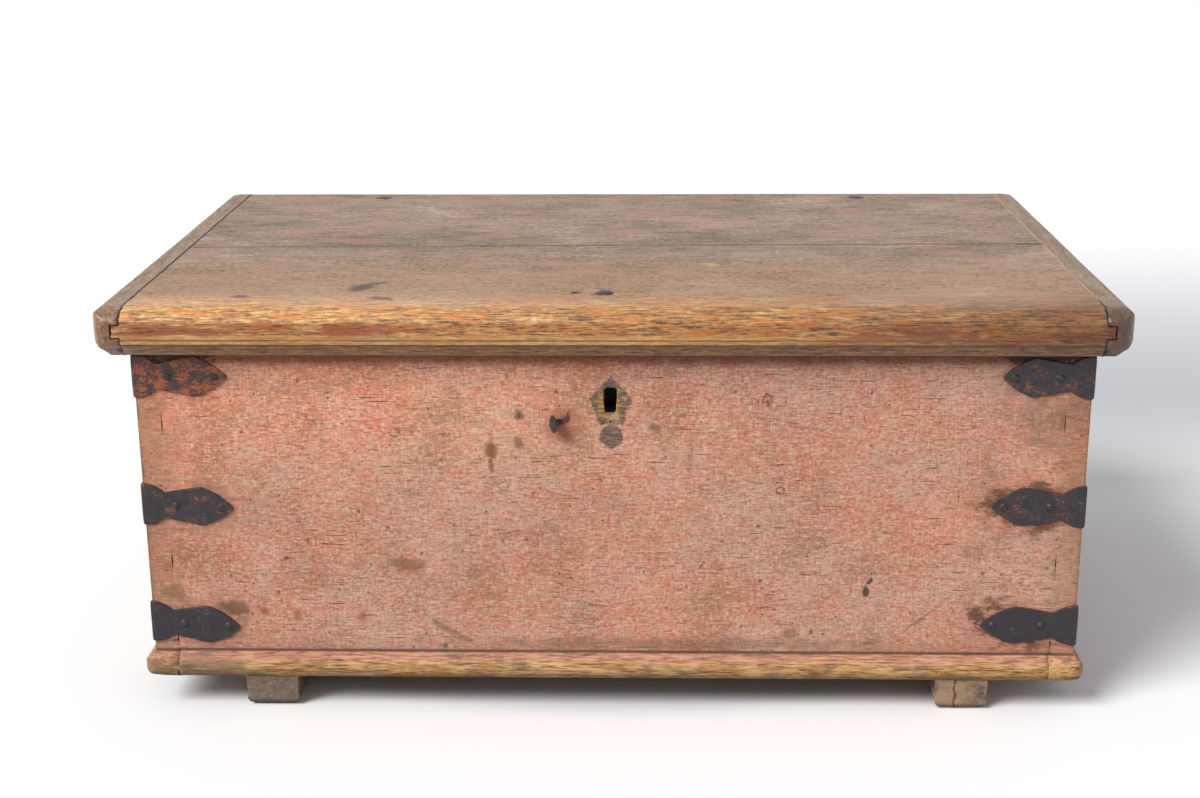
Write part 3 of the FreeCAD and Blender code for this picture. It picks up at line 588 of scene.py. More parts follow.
def keyhole_history(point, colour):
    """Painted light high on the left, the ghost of a lost keyhole plate, worn to yellow at the hole, and a
    painted shade, near black, on faces set back from the front, as inside the keyhole.
    """
    place_x, place_y, place_z = axes(point)
    # painted light: the paint is brightened high on the left, where the light falls
    painted_light = smooth(place_z, wall_z + 140 * mm, rim_z - 30 * mm) * smooth(place_x, 220 * mm, -180 * mm)
    rough_point = ragged(point, 5 * mm, 3.2 * mm)
    across, _, height = axes(rough_point)
    rise = height - (keyhole_z + 1 * mm)
    slope = rise.maths("MAXIMUM", rise / (25 * mm), rise / (-58 * mm))
    shield = smooth(abs(across - 0.6 * mm) / (21.5 * mm) + slope, 1.06, 0.94)
    shield = shield * smooth(rise, -28 * mm, -25 * mm)
    ghost = shield.maths("MAXIMUM", shield, front_mark(rough_point, 0.6, -38, 12.5, 13, 0.15))
    along = grained(point, along_x)
    grain = along(1.8, 6, 5.0, 8.0, 0.65)
    torn = along(7, 1.4, 6.0, 9.0, 0.68)
    grey = shades(grain, (0.38, tone(74, 62, 54)), (0.5, tone(116, 99, 86)), (0.62, tone(152, 130, 110)))
    ochre = shades(grain, (0.36, tone(120, 78, 46)), (0.5, tone(190, 142, 88)), (0.64, tone(214, 174, 120)))
    bare = front_mark(rough_point, -1, -6, 22, 27, 0.9) * shield
    colour = lay(
        colour,
        (painted_light, painted_light_gain, "MULTIPLY"),
        (ghost * smooth(torn, 0.3, 0.42) * 0.9, grey),
        (smooth(bare + (torn - 0.5) * 3 + (grain - 0.5), 0.3, 0.55) * shield, ochre),
        (front_mark(rough_point, 4.5, -17, 5, 4, 0.8) * 0.8, tone(206, 182, 148)))
    ink_marks = ((-7, -25, 4, 2), (-1, -23, 3, 1.8), (0.5, -36, 3, 1.8), (-14, 5, 3.5, 1.4),
                 (-66, -10, 5, 1.2), (-47, -21, 6, 6), (-43, -17, 3, 9), (-92, -16, 4, 4))
    for across_mm, rise_mm, half_x, half_z in ink_marks:
        colour = blend(front_mark(rough_point, across_mm, rise_mm, half_x, half_z, 0.7) * 0.85, colour, ink)
    ring_knots = ((157, 1, 6, 8), (172, -96, 5, 5), (-219, -35, 6, 6))
    for across_mm, rise_mm, half_x, half_z in ring_knots:
        disc = front_mark(rough_point, across_mm, rise_mm, half_x, half_z, 0.3)
        hole = front_mark(rough_point, across_mm, rise_mm, half_x * 0.6, half_z * 0.6, 0.4)
        colour = blend((disc - hole) * smooth(torn, 0.36, 0.52) * 0.85, colour, tone(112, 76, 58))
    # painted shade: faces set back from the front, such as the inside of the keyhole, are painted near black
    return blend(smooth(place_y, front_y + 0.8 * mm, front_y + 2.5 * mm), colour, tone(22, 17, 14))


wall_paint = {
    "front_board": painted_pine("front_paint", along_x, front_stains, 0.5, keyhole_history),
    "back_board": painted_pine("back_paint", along_x, strap_stains("back_board"), 0.75),
    "left_end_board": painted_pine("left_end_paint", along_y, strap_stains("left_end_board"), 0.6),
    "right_end_board": painted_pine("right_end_paint", along_y, strap_stains("right_end_board"), 0.6),
}
print("paint for", ", ".join(wall_paint))

# %% [markdown]
# ## Worn boards
# The frame's boards have knife-sharp arrises, and no old board has. A worn board is a copy of the clean one:
# its loose triangles are merged, its long arrises are eased with a small bevel, its faces are cut into a
# grid, and a Geometry Nodes tree then wears the grid down along its normals by noise. Faces that meet
# another board are held still, so the joints stay tight. Where wear pushes a narrow face over its neighbour,
# its points are smoothed, which takes out most folds, and every point is kept inside the clean board's box.
# The bevel's points carry a worn_edge value for the paint.


# %% The tree that wears a surface down
def new_tree(name, inputs):
    """A Geometry Nodes tree with one named input for each entry, and wires that carry them."""
    tree = bpy.data.node_groups.new(name, "GeometryNodeTree")
    tree.interface.new_socket("Geometry", in_out="OUTPUT", socket_type="NodeSocketGeometry")
    for label, kind in {"Geometry": "Geometry", **inputs, "Material": "Material"}.items():
        tree.interface.new_socket(label, in_out="INPUT", socket_type="NodeSocket" + kind)
    entry = tree.nodes.new("NodeGroupInput")
    return tree, {socket.name: Wire(tree, socket) for socket in entry.outputs if socket.name}


def close_tree(geometry, material):
    """Ends a tree in real geometry with its material."""
    real = geometry.node("GeometryNodeRealizeInstances", {}, {"Geometry": geometry})
    dressed = real.node("GeometryNodeSetMaterial", {}, {"Geometry": real, "Material": material})
    dressed.node("NodeGroupOutput", {}, {0: dressed})


worn_tree, worn = new_tree("Worn Surface", {"Depth": "Float", "Lump Size": "Float", "Draw Out": "Vector",
                                            "Seed": "Float"})
worn_place = worn["Geometry"].node("GeometryNodeInputPosition")
worn_spread = worn_place.vector("DIVIDE", {1: worn["Draw Out"]})
worn_lumps = worn_spread.node("ShaderNodeTexNoise", {"noise_dimensions": "4D"},
                              {"Vector": worn_spread, "W": worn["Seed"], "Scale": 1 / worn["Lump Size"],
                               "Detail": 3.0})
worn_normal = worn_place.node("GeometryNodeInputNormal")
worn_part = worn_place.node("GeometryNodeInputNamedAttribute", {"data_type": "FLOAT"}, {"Name": "wear_share"})
worn_push = worn_normal.vector("SCALE", {"Scale": worn_lumps * worn_part * worn["Depth"] * -1})
worn_surface = worn_push.node("GeometryNodeSetPosition", {},
                              {"Geometry": worn["Geometry"], "Offset": worn_push})
close_tree(worn_surface, worn["Material"])
print("tree", worn_tree.name, "with", len(worn_tree.nodes), "nodes")


# %% Run a tree and keep its result as a plain mesh
def run_tree(source, tree, values, name):
    """Runs a tree on an object, and gives a new object with the plain mesh that came out."""
    bpy.context.scene.collection.objects.link(source)
    modifier = source.modifiers.new(tree.name, "NODES")
    modifier.node_group = tree
    for item in tree.interface.items_tree:
        if item.in_out == "INPUT" and item.name in values:
            modifier[item.identifier] = values[item.name]
    depsgraph = bpy.context.evaluated_depsgraph_get()
    mesh = bpy.data.meshes.new_from_object(source.evaluated_get(depsgraph), preserve_all_data_layers=True,
                                           depsgraph=depsgraph)
    mesh.name = name
    bpy.data.objects.remove(source)
    piece = bpy.data.objects.new(name, mesh)
    bpy.context.scene.collection.objects.link(piece)
    return piece


print("a tree's result becomes a mesh of its own")

# %% Ease and cut a copy of a clean board
merge_gap = 0.01 * mm
flat_angle = math.radians(1)
arris_angle = math.radians(30)
smooth_angle = math.radians(38)
long_arris = 60 * mm
facing_share = 0.93
outer_skin = 6 * mm
bevel_steps = 2
bevel_profile = 0.6
fold_share = -0.4
unfold_rounds = 12
unfold_pull = 0.5
board_step, narrow_step = 12 * mm, 7 * mm
board_draw, narrow_draw = 3, 2


def list_in_order(work):
    """Sorts the faces by the numbers of their points, so that every run lists them in one order."""
    work.verts.index_update()
    ordered = sorted(work.faces, key=lambda face: [vert.index for vert in face.verts])
    ranks = {face: rank for rank, face in enumerate(ordered)}
    work.faces.sort(key=ranks.get)


def cut_across(work, step):
    """Cuts the whole mesh by planes on all three axes, a step apart."""
    for axis in range(3):
        places = [vert.co[axis] for vert in work.verts]
        low, high = min(places), max(places)
        count = int((high - low) / step)
        way = Vector([1.0 if index == axis else 0.0 for index in range(3)])
        for index in range(1, count):
            place = way * (low + (high - low) * index / count)
            everything = work.verts[:] + work.edges[:] + work.faces[:]
            bmesh.ops.bisect_plane(work, geom=everything, dist=merge_gap, plane_co=place, plane_no=way)


def ease(work, shortest, width):
    """Bevels the sharp edges over a length, and gives the new faces."""
    sharp = [edge for edge in work.edges if edge.is_manifold and edge.calc_length() > shortest
             and edge.calc_face_angle() > arris_angle]
    return bmesh.ops.bevel(work, geom=sharp, offset=width, offset_type="OFFSET", segments=bevel_steps,
                           profile=bevel_profile, affect="EDGES", clamp_overlap=False)["faces"]


def eased_copy(node, arris, step, held):
    """A merged copy with bevelled arrises and gridded faces; faces that look a held way keep still."""
    work = bmesh.new()
    work.from_mesh(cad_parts[node].data)
    edge_layer = work.verts.layers.float.new("worn_edge")
    wear_layer = work.verts.layers.float.new("wear_share")
    eased_layer = work.faces.layers.int.new("eased")
    bmesh.ops.remove_doubles(work, verts=work.verts, dist=merge_gap)
    bmesh.ops.dissolve_limit(work, angle_limit=flat_angle, verts=work.verts, edges=work.edges)
    for face in ease(work, long_arris, arris):
        face[eased_layer] = 1
    cut_across(work, step)
    list_in_order(work)
    work.normal_update()
    for vert in work.verts:
        vert[edge_layer] = max(face[eased_layer] for face in vert.link_faces)
        still = any(face.normal.dot(Vector(way)) > facing_share for face in vert.link_faces for way in held)
        vert[wear_layer] = 0.0 if still else 1.0
    mesh = bpy.data.meshes.new(node + "_eased")
    work.to_mesh(mesh)
    work.free()
    return bpy.data.objects.new(node + "_eased", mesh)


print("arrises over", round(long_arris / mm), "mm are eased")


# %% Unfold a worn copy and let it stand for its board
def folded_points(work):
    """The points of all faces that lie folded back on a neighbour."""
    work.normal_update()
    folded = [edge for edge in work.edges if edge.is_manifold
              and edge.link_faces[0].normal.dot(edge.link_faces[1].normal) < fold_share]
    return list({vert for edge in folded for face in edge.link_faces for vert in face.verts})


def unfold(mesh):
    """Smooths the points of folded faces in a few rounds, which lays most folds flat."""
    work = bmesh.new()
    work.from_mesh(mesh)
    for _ in range(unfold_rounds):
        bmesh.ops.smooth_vert(work, verts=folded_points(work), factor=unfold_pull, use_axis_x=True,
                              use_axis_y=True, use_axis_z=True)
    work.to_mesh(mesh)
    work.free()


def worn_board(node, body, finish, arris, depth, lump, draw, seed, faces=(), held=(), step=board_step):
    """A worn copy that stands for a clean board; faces that look along a given way take another finish."""
    values = {"Depth": depth, "Lump Size": lump, "Draw Out": draw, "Seed": seed, "Material": finish}
    piece = run_tree(eased_copy(node, arris, step, held), worn_tree, values, node + "_worn")
    unfold(piece.data)
    low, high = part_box(node)
    for vert in piece.data.vertices:
        vert.co = [min(max(place, least), most) for place, least, most in zip(vert.co, low, high)]
    piece.data.shade_smooth()
    piece.data.set_sharp_from_angle(angle=smooth_angle)
    for index, (way, other_finish) in enumerate(faces):
        piece.data.materials.append(other_finish)
        outermost = max(face.center.dot(Vector(way)) for face in piece.data.polygons)
        for face in piece.data.polygons:
            looks_out = face.normal.dot(Vector(way)) > facing_share
            if looks_out and face.center.dot(Vector(way)) > outermost - outer_skin:
                face.material_index = index + 1
    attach(piece, body)
    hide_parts(node)
    print(piece.name, len(piece.data.polygons), "faces")


print("boards can be eased, cut and worn")

# %% [markdown]
# ## The case
# Four walls meet in dovetails: the front and back carry the tails, the ends the pins. Each wall keeps its
# joint from the clean copy, so the dovetails show where the straps leave them bare. The ends of the tails
# and pins take the paint of the wall that they lie in. Inside and on the rim the pine was never painted.

# %% Wear the four walls
wall_arris = 0.7 * mm
wall_depth = 0.4 * mm
wall_lump = 40 * mm
up, down = (0, 0, 1), (0, 0, -1)
leftward, rightward = (-1, 0, 0), (1, 0, 0)
frontward, backward = (0, -1, 0), (0, 1, 0)
pin_ends = [(frontward, wall_paint["front_board"]), (backward, wall_paint["back_board"])]
tail_ends = [(leftward, wall_paint["left_end_board"]), (rightward, wall_paint["right_end_board"])]
wall_faces = {
    "front_board": [(backward, bare_lengthways), (up, bare_lengthways)] + tail_ends,
    "back_board": [(frontward, bare_lengthways), (up, bare_lengthways)] + tail_ends,
    "left_end_board": [(rightward, bare_crossways), (up, bare_crossways)] + pin_ends,
    "right_end_board": [(leftward, bare_crossways), (up, bare_crossways)] + pin_ends,
}
for seed, (wall, faces) in enumerate(wall_faces.items()):
    lengthways = wall in ("front_board", "back_board")
    grain_way = along_x if lengthways else along_y
    held = (up, down, leftward, rightward) if lengthways else (up, down, frontward, backward)
    worn_board(wall, "case", wall_paint[wall], wall_arris, wall_depth, wall_lump,
               drawn(grain_way, board_draw), seed, faces, held)

# %% [markdown]
# ## The lid's finish
# The lid is two wide boards with a grain that runs across the chest, and their joint is a little askew. The
# top has lost most paint: mauve and grey streaks behind, grey-brown in front. Hands have polished the
# rounded front to a golden ochre; a painted light makes it paler on the left and a painted shade darker on
# the right. The upright edge keeps streaks of red-brown paint and pale chips, a pale band low on its left
# is worn wood with a painted highlight, and the hollow below is dusky. The quirk and the groove above it
# are dark lines of painted shade. The bands follow the edge's own section, so they are steps on the height
# and the depth of the point. Dirt in the joints is drawn as ragged lines; on the right of the top a joint
# shows as a pale painted highlight.

# %% Lines and stains of the lid
lid_red = tone(160, 78, 50)
lid_round_z = lid_top_z - 16 * mm
quirk_z = rim_z + 13.8 * mm
quirk_half = 1.1 * mm
bead_rise = 2.4 * mm
tongue_z = rim_z + 27.5 * mm
tongue_half = 6.5 * mm
lid_seam_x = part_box("lid_end_right")[0].x
tongue_end_x = lid_seam_x + 9 * mm
lid_joint_left_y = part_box("lid_rear_board")[0].y
lid_joint_right_y = lid_high.y
nose_painted_light_gain = (1.27, 1.3, 1.3, 1.0)
# painted shade: it darkens the right of the nose and the end grain of the right end
right_painted_shade = tone(172, 160, 146)


def lid_blot(point, across, place_y, half_x, half_y, lean=0.0):
    """A stain on the lid's top, placed in millimetres in the frame."""
    return blot(point, (across * mm, place_y * mm, lid_top_z), (half_x * mm, half_y * mm, through),
                (0, 0, math.radians(lean)), 0.6)


def lid_seam_lines(point, colour):
    """Dirt in the joints of boards and ends; on the right of the top a joint shows a pale painted highlight.
    """
    across, depth, height = axes(ragged(point, 6 * mm, 1.2 * mm))
    on_tongue = smooth(abs(height - tongue_z), tongue_half + 0.5 * mm, tongue_half - 0.5 * mm)
    on_top = smooth(depth, nose_y + 30 * mm, nose_y + 60 * mm)
    past_seam = smooth(abs(across), lid_seam_x, lid_seam_x + 0.5 * mm)
    seam = smooth(abs(abs(across) - lid_seam_x), 1.8 * mm, 0.7 * mm) * (1 - on_tongue)
    tongue_rim = smooth(abs(abs(height - tongue_z) - tongue_half), 1.2 * mm, 0.5 * mm) * past_seam
    tongue_rim = tongue_rim * smooth(abs(across), tongue_end_x + 1.2 * mm, tongue_end_x)
    tongue_tip = smooth(abs(abs(across) - tongue_end_x), 1.2 * mm, 0.5 * mm) * on_tongue
    dirt = seam.maths("MAXIMUM", seam, seam.maths("MAXIMUM", tongue_rim, tongue_tip))
    # painted highlight along the joint on the right of the top
    pale = smooth(across, 0, 1 * mm) * on_top
    colour = blend(dirt * (1 - pale) * 0.92, colour, tone(34, 26, 22))
    return blend(dirt * pale * 0.45, colour, tone(204, 164, 112))


print("lid seams", round(lid_seam_x / mm, 1), "mm to each side of the middle")


# %% Lid boards' finish
def lid_finish(name):
    material, point = new_finish(name)
    across, depth, height = axes(point)
    along = grained(point, along_x)
    smudge = along(80, 1.7, 7.0, 1.0, 0.64)
    mauve = along(40, 2.2, 7.0, 4.0, 0.64)
    streaks = along(5, 9, 5.0, rough=0.64)
    grain = along(3.2, 1.7, 4.0, 2.0, 0.66)
    fibres = along(1.6, 11, 4.0, 3.0, 0.64)
    orange = smooth(along(6, 7, 6.0, 6.0, 0.68), 0.5, 0.57)
    cracks = smooth(along(1.3, 26, 3.0, 7.0), 0.61, 0.68)
    red_grain = along(10, 6, 8.0, 5.0, 0.7)
    pits = dots(ragged(point, 3 * mm, 1.5 * mm), 44 * mm, 3 * mm, 0.35)
    wear = grain * 0.55 + streaks * 0.45 + (smudge - 0.5) * 0.42
    rich = fibres * 0.55 + streaks * 0.25 + grain * 0.2
    front_half = smooth(depth + (smudge - 0.5) * (260 * mm), nose_y + 300 * mm, nose_y + 130 * mm)
    hand_reach = depth + (streaks - 0.5) * (70 * mm) + (smudge - 0.5) * (80 * mm)
    handled = smooth(hand_reach, nose_y + 92 * mm, nose_y + 18 * mm)
    edge_face = smooth(height, lid_round_z + 8 * mm, lid_round_z)
    edge_face = edge_face * smooth(depth, nose_y + 6 * mm, nose_y + 2 * mm)
    red_side = 0.3 + smooth(abs(across), 130 * mm, 260 * mm) * 0.7
    red_band = smooth(abs(height - (rim_z + 27 * mm)), 13 * mm, 4 * mm) * edge_face * red_side
    red_left = smooth(red_grain, 0.44, 0.54) * smooth(rich, 0.4, 0.5)
    near_nose = smooth(depth, nose_y + 40 * mm, nose_y + 16 * mm)
    ragged_point = ragged(point, 6 * mm, 4 * mm)
    chips = dots(ragged_point, 21 * mm, 4.5 * mm, 0.45, drawn(along_x, 1.8))
    chips = chips * smooth(depth, nose_y + 24 * mm, nose_y + 8 * mm) * smooth(fibres, 0.42, 0.54)
    # painted light: the polished nose is brightened on the left, where the light falls
    left_side = smooth(across, 20 * mm, -300 * mm)
    right_side = smooth(across, 40 * mm, 500 * mm)
    # a pale worn band low on the upright edge, laid on the left only as a painted highlight
    low_edge = smooth(abs(height - (quirk_z + 5 * mm)), 7 * mm, 3 * mm) * edge_face
    hollow = smooth(height, quirk_z, quirk_z - 1 * mm)
    foot = smooth(height, rim_z + 2.4 * mm, rim_z + 1.2 * mm)
    front_edge = smooth(depth, nose_y + 30 * mm, nose_y)
    # painted shade: the undercut quirk and the groove of the bead above it are drawn as dark lines
    quirk = smooth(abs(height - quirk_z), quirk_half, quirk_half / 2) * front_edge
    bead_line = smooth(abs(height - (quirk_z + 2 * bead_rise)), quirk_half, quirk_half / 2) * front_edge
    golden = shades(rich, (0.42, tone(88, 66, 50)), (0.47, tone(160, 112, 62)), (0.53, tone(200, 148, 86)),
                    (0.59, tone(238, 200, 144)))
    golden = blend(orange * smooth(rich, 0.42, 0.52) * 0.8, golden, tone(214, 124, 44))
    umber = shades(rich, (0.43, tone(84, 60, 44)), (0.48, tone(188, 132, 76)), (0.56, tone(234, 186, 120)))
    umber = blend(orange * smooth(rich, 0.43, 0.52) * 0.8, umber, tone(220, 120, 44))
    dusky = shades(rich, (0.42, tone(90, 74, 62)), (0.5, tone(164, 128, 98)), (0.58, tone(216, 172, 126)))
    colour = lay(
        shades(wear, (0.38, tone(94, 81, 68)), (0.46, tone(128, 110, 94)), (0.54, tone(156, 133, 115)),
               (0.63, tone(188, 164, 144))),
        (smooth(mauve, 0.5, 0.6) * 0.55, tone(172, 130, 118)),
        (front_half * smooth(grain, 0.35, 0.6) * 0.6, tone(184, 142, 98)),
        (handled * 0.9, golden),
        (edge_face * 0.8, umber),
        (red_band * red_left * 0.85, lid_red),
        (cracks * near_nose * 0.75, tone(88, 66, 48)),
        (chips * 0.85, tone(232, 204, 160)),
        (left_side * handled * (1 - edge_face), nose_painted_light_gain, "MULTIPLY"),
        (low_edge * (1 - right_side) * 0.4, tone(240, 188, 116)),
        (right_side * handled, right_painted_shade, "MULTIPLY"),
        (hollow * 0.9, dusky),
        (foot * 0.9, tone(196, 152, 104)),
        (quirk * 0.85, tone(70, 52, 40)),
        (bead_line * smooth(streaks, 0.38, 0.5) * 0.7, tone(84, 62, 46)),
        (smooth(grain, 0.36, 0.28) * 0.6, tone(92, 76, 64)),
        (pits * 0.75, tone(78, 62, 52)))
    ink_marks = ((-36, -249, 8, 9, 0), (-258, -227, 15, 26, -25), (-231, -276, 19, 9, -12),
                 (-375, -267, 13, 9, 0), (-243, -208, 16, 6, 20), (-305, 284, 13, 14, 0),
                 (304, 284, 13, 14, 0))
    for mark in ink_marks:
        colour = blend(lid_blot(ragged_point, *mark) * 0.85, colour, tone(72, 62, 62))
    colour = blend(lid_blot(ragged_point, 106, -118, 11, 14) * 0.7, colour, tone(196, 162, 118))
    colour = lid_seam_lines(point, colour)
    skew = (lid_joint_right_y - lid_joint_left_y) / (2 * lid_seam_x)
    joint_y = across * skew + (lid_joint_left_y + lid_joint_right_y) / 2
    joint = smooth(abs(depth - joint_y + (grain - 0.5) * (4 * mm)), 2.4 * mm, 1 * mm)
    colour = blend(joint * smooth(smudge, 0.3, 0.5) * 0.75, colour, tone(74, 60, 50))
    relief = streaks * 0.5 + fibres + grain * 0.5 - cracks * near_nose - pits * 1.6 - quirk - bead_line * 0.7
    polish = handled * smooth(smudge, 0.4, 0.6) * 0.35
    close_finish(colour, 0.74 - handled * 0.24, relief, 0.35 * mm, polish)
    return material


lid_wear = lid_finish("lid_wear")
print("lid finish has", len(lid_wear.node_tree.nodes), "nodes")

# %% [markdown]
# ## The lid's ends
# A cross batten at each end keeps the lid flat. Its grain runs front to back, its front is dark oiled end
# grain, and its rounded outer edge is rubbed paler than its top. On the right, a painted shade darkens the
# end grain.

# %% Lid ends' finish
def lid_end_finish(name):
    material, point = new_finish(name)
    across, depth, height = axes(point)
    along = grained(point, along_y)
    streaks = along(6, 5, 6.0, rough=0.64)
    grain = along(3, 2, 4.0, 2.0, 0.66)
    rings = clouds(point, 3.4 * mm, (1, 1, 1.6), 6.0, 4.0, 0.68)
    pits = dots(ragged(point, 3 * mm, 1.5 * mm), 26 * mm, 2.2 * mm, 0.4)
    end_grain = smooth(depth + (streaks - 0.5) * (50 * mm), nose_y + 56 * mm, nose_y + 12 * mm)
    oiled = shades(rings, (0.38, tone(74, 48, 32)), (0.5, tone(124, 82, 50)), (0.62, tone(176, 120, 66)))
    rim = smooth(abs(across), lid_half_width - 9 * mm, lid_half_width - 1 * mm) * end_grain
    right_side = smooth(across, 0.0, lid_half_width)
    low_side = smooth(height, rim_z + 24 * mm, rim_z + 6 * mm)
    colour = lay(
        shades(grain * 0.5 + streaks * 0.5, (0.36, tone(94, 78, 64)), (0.5, tone(146, 123, 103)),
               (0.64, tone(182, 156, 132))),
        (end_grain * 0.9, oiled),
        (rim * smooth(grain, 0.4, 0.55) * 0.7, tone(196, 132, 74)),
        (right_side * end_grain, right_painted_shade, "MULTIPLY"),
        (low_side * 0.3, tone(124, 92, 66)),
        (pits * 0.7, tone(72, 54, 44)),
        (lid_blot(point, -505, 203, 7, 9) * 0.8, tone(84, 66, 44)))
    colour = lid_seam_lines(point, colour)
    relief = streaks * 0.5 + grain - rings * end_grain - pits
    close_finish(colour, 0.74 - end_grain * 0.3, relief, 0.35 * mm, end_grain * 0.5)
    return material


_, lid_end_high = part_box("lid_end_right")
lid_half_width = lid_end_high.x
lid_end_wear = lid_end_finish("lid_end_wear")
print("lid ends' finish ready, half width", round(lid_half_width / mm, 1), "mm")

# %% Wear the lid
lid_arris = 0.9 * mm
lid_depth = 1.3 * mm
lid_lump = 55 * mm
lid_joints = {
    "lid_front_board": (leftward, rightward, backward),
    "lid_rear_board": (leftward, rightward, frontward),
    "lid_end_left": (rightward,),
    "lid_end_right": (leftward,),
}
lid_first_seed = 10.0
for seed, (node, held) in enumerate(lid_joints.items()):
    board = node.endswith("board")
    finish = lid_wear if board else lid_end_wear
    underside = bare_lengthways if board else bare_crossways
    draw = drawn(along_x, board_draw) if board else drawn(along_y, narrow_draw)
    worn_board(node, "lid", finish, lid_arris, lid_depth, lid_lump, draw, lid_first_seed + seed,
               [(down, underside)], held, board_step if board else narrow_step)

# %% [markdown]
# ## The bottom and the runners
# The bottom is a panel like the lid, and its moulded edge shows all round as a skirting. The slope under the
# case still has the pink, the nose is worn to yellow wood with grey weathering and worm holes, and the ends
# show bare end grain. Two runners carry it all; their ends are grey, with paler worn corners, and behind
# their ends, under the chest, a painted shade darkens them.

# %% Bottom and runner finishes
def base_finish(name, grain_way, paint_share):
    material, point = new_finish(name)
    across, _, height = axes(point)
    along = grained(point, grain_way)
    streaks = along(5, 8, 6.0, rough=0.64)
    weather = along(17, 2.6, 8.0, 1.0, 0.68)
    fibres = along(1.7, 10, 4.0, 2.0, 0.64)
    amber = along(9, 4, 6.0, 5.0, 0.68)
    worm = dots(point, 22 * mm, 1.6 * mm, 0.55)
    wear = fibres * 0.6 + streaks * 0.4
    left_grey = smooth(across, -330 * mm, -440 * mm) * 0.12
    slope = smooth(height + (streaks - 0.5) * (10 * mm), base_high.z - 9 * mm, base_high.z - 6.5 * mm)
    pink = shades(wear, (0.39, tone(104, 70, 56)), (0.47, tone(184, 124, 98)), (0.58, tone(212, 160, 132)))
    pink = blend(smooth(weather, 0.54, 0.64) * 0.6, pink, tone(132, 108, 90))
    seam = smooth(height, base_high.z - 1.6 * mm, base_high.z - 0.6 * mm)
    colour = lay(
        shades(wear, (0.39, tone(98, 68, 42)), (0.46, tone(174, 128, 80)), (0.55, tone(222, 180, 126))),
        (smooth(amber, 0.5, 0.6) * smooth(wear, 0.4, 0.5) * 0.55, tone(206, 140, 66)),
        (smooth(weather + left_grey, 0.5, 0.62) * 0.7, tone(126, 106, 86)),
        (slope * paint_share, pink),
        (seam * 0.85, tone(66, 48, 40)),
        (worm * 0.9, tone(54, 40, 32)))
    close_finish(colour, 0.82, streaks * 0.5 + fibres * 1.2 - worm * 2, 0.4 * mm)
    return material


def runner_finish(name):
    material, point = new_finish(name)
    across, depth, _ = axes(point)
    weather = clouds(point, 14 * mm, drawn(along_y, 3), 8.0, rough=0.66)
    rings = clouds(point, 2.6 * mm, (1.5, 1, 1), 5.0, 2.0, 0.65)
    right_runner = smooth(across, -100 * mm, 100 * mm)
    split = smooth(abs(across - 359 * mm + (weather - 0.5) * (14 * mm)), 1.2 * mm, 0.5 * mm)
    # painted shade: the runners are darkened behind their ends, under the chest
    painted_rail_shade = smooth(depth, nose_y + 50 * mm, nose_y + 110 * mm)
    colour = lay(
        shades(rings * 0.5 + weather * 0.5, (0.36, tone(84, 74, 68)), (0.5, tone(132, 114, 98)),
               (0.62, tone(176, 148, 120))),
        (right_runner * smooth(weather, 0.36, 0.56) * 0.7, tone(190, 156, 120)),
        (split * 0.8, tone(66, 52, 44)),
        (smooth(worn_edge(point) + rings * 0.8, 1.0, 1.5) * 0.8, tone(190, 152, 106)),
        (painted_rail_shade * 0.6, tone(72, 60, 54)))
    close_finish(colour, 0.86, weather + rings * 0.6 - split, 0.5 * mm)
    return material


base_wear = base_finish("base_wear", along_x, 0.9)
base_end_wear = base_finish("base_end_wear", (0.4, 1, 0), 0.75)
runner_wear = runner_finish("runner_wear")
print("bottom, bottom ends and runners have finishes")

# %% Wear the bottom and the runners
base_arris = 0.7 * mm
base_depth = 1.2 * mm
base_lump = 30 * mm
base_first_seed = 20.0
sides, seams = (leftward, rightward), (frontward, backward)
base_joints = {
    "board_front": sides + (backward, up),
    "board_middle": sides + seams + (up,),
    "board_rear": sides + (frontward, up),
    "end_left": (rightward, up),
    "end_right": (leftward, up),
}
for seed, (part, held) in enumerate(base_joints.items()):
    lengthways = part.startswith("board")
    grain_way = along_x if lengthways else along_y
    bare = bare_lengthways if lengthways else bare_crossways
    worn_board("bottom_" + part, "case", base_wear if lengthways else base_end_wear,
               base_arris, base_depth, base_lump, drawn(grain_way, board_draw), base_first_seed + seed,
               [(up, bare)], held)
runner_arris = 1.6 * mm
runner_depth = 2.2 * mm
runner_lump = 22 * mm
runner_first_seed = 30.0
for seed, part in enumerate(("left", "right")):
    worn_board("runner_" + part, "case", runner_wear, runner_arris, runner_depth,
               runner_lump, drawn(along_y, narrow_draw), runner_first_seed + seed, (), (up, down),
               narrow_step)

# %% [markdown]
# ## Forged iron
# The straps were black from the forge. Under the lid's left corner rust has nearly eaten the black,
# elsewhere it only freckles it, and every cut edge shows a brown line. Rust is dull and rough, forge black
# is smoother, so the same mask drives the colour and the roughness.

# %% Iron finishes
def iron_finish(name, rust_share):
    material, point = new_finish(name)
    patches = clouds(point, 14 * mm, detail=6.0, rough=0.6)
    scale = clouds(point, 2.4 * mm, (1.5, 1.5, 1), 5.0, 3.0, 0.66)
    grit = clouds(point, 1.5 * mm, detail=3.0, seed=5.0)
    rust = scale + (patches - 0.5) * 0.95 + (grit - 0.5) * 0.7 + (rust_share - 0.5) * 0.5
    colour = shades(rust, (0.4, tone(38, 34, 40)), (0.58, tone(54, 47, 52)), (0.66, tone(96, 64, 52)),
                    (0.76, tone(180, 104, 72)))
    colour = blend(smooth(worn_edge(point) + scale * 0.6, 0.95, 1.4) * 0.6, colour, tone(116, 86, 64))
    close_finish(colour, 0.5 + smooth(rust, 0.55, 0.75) * 0.35, scale + grit * 0.5, 0.3 * mm)
    return material


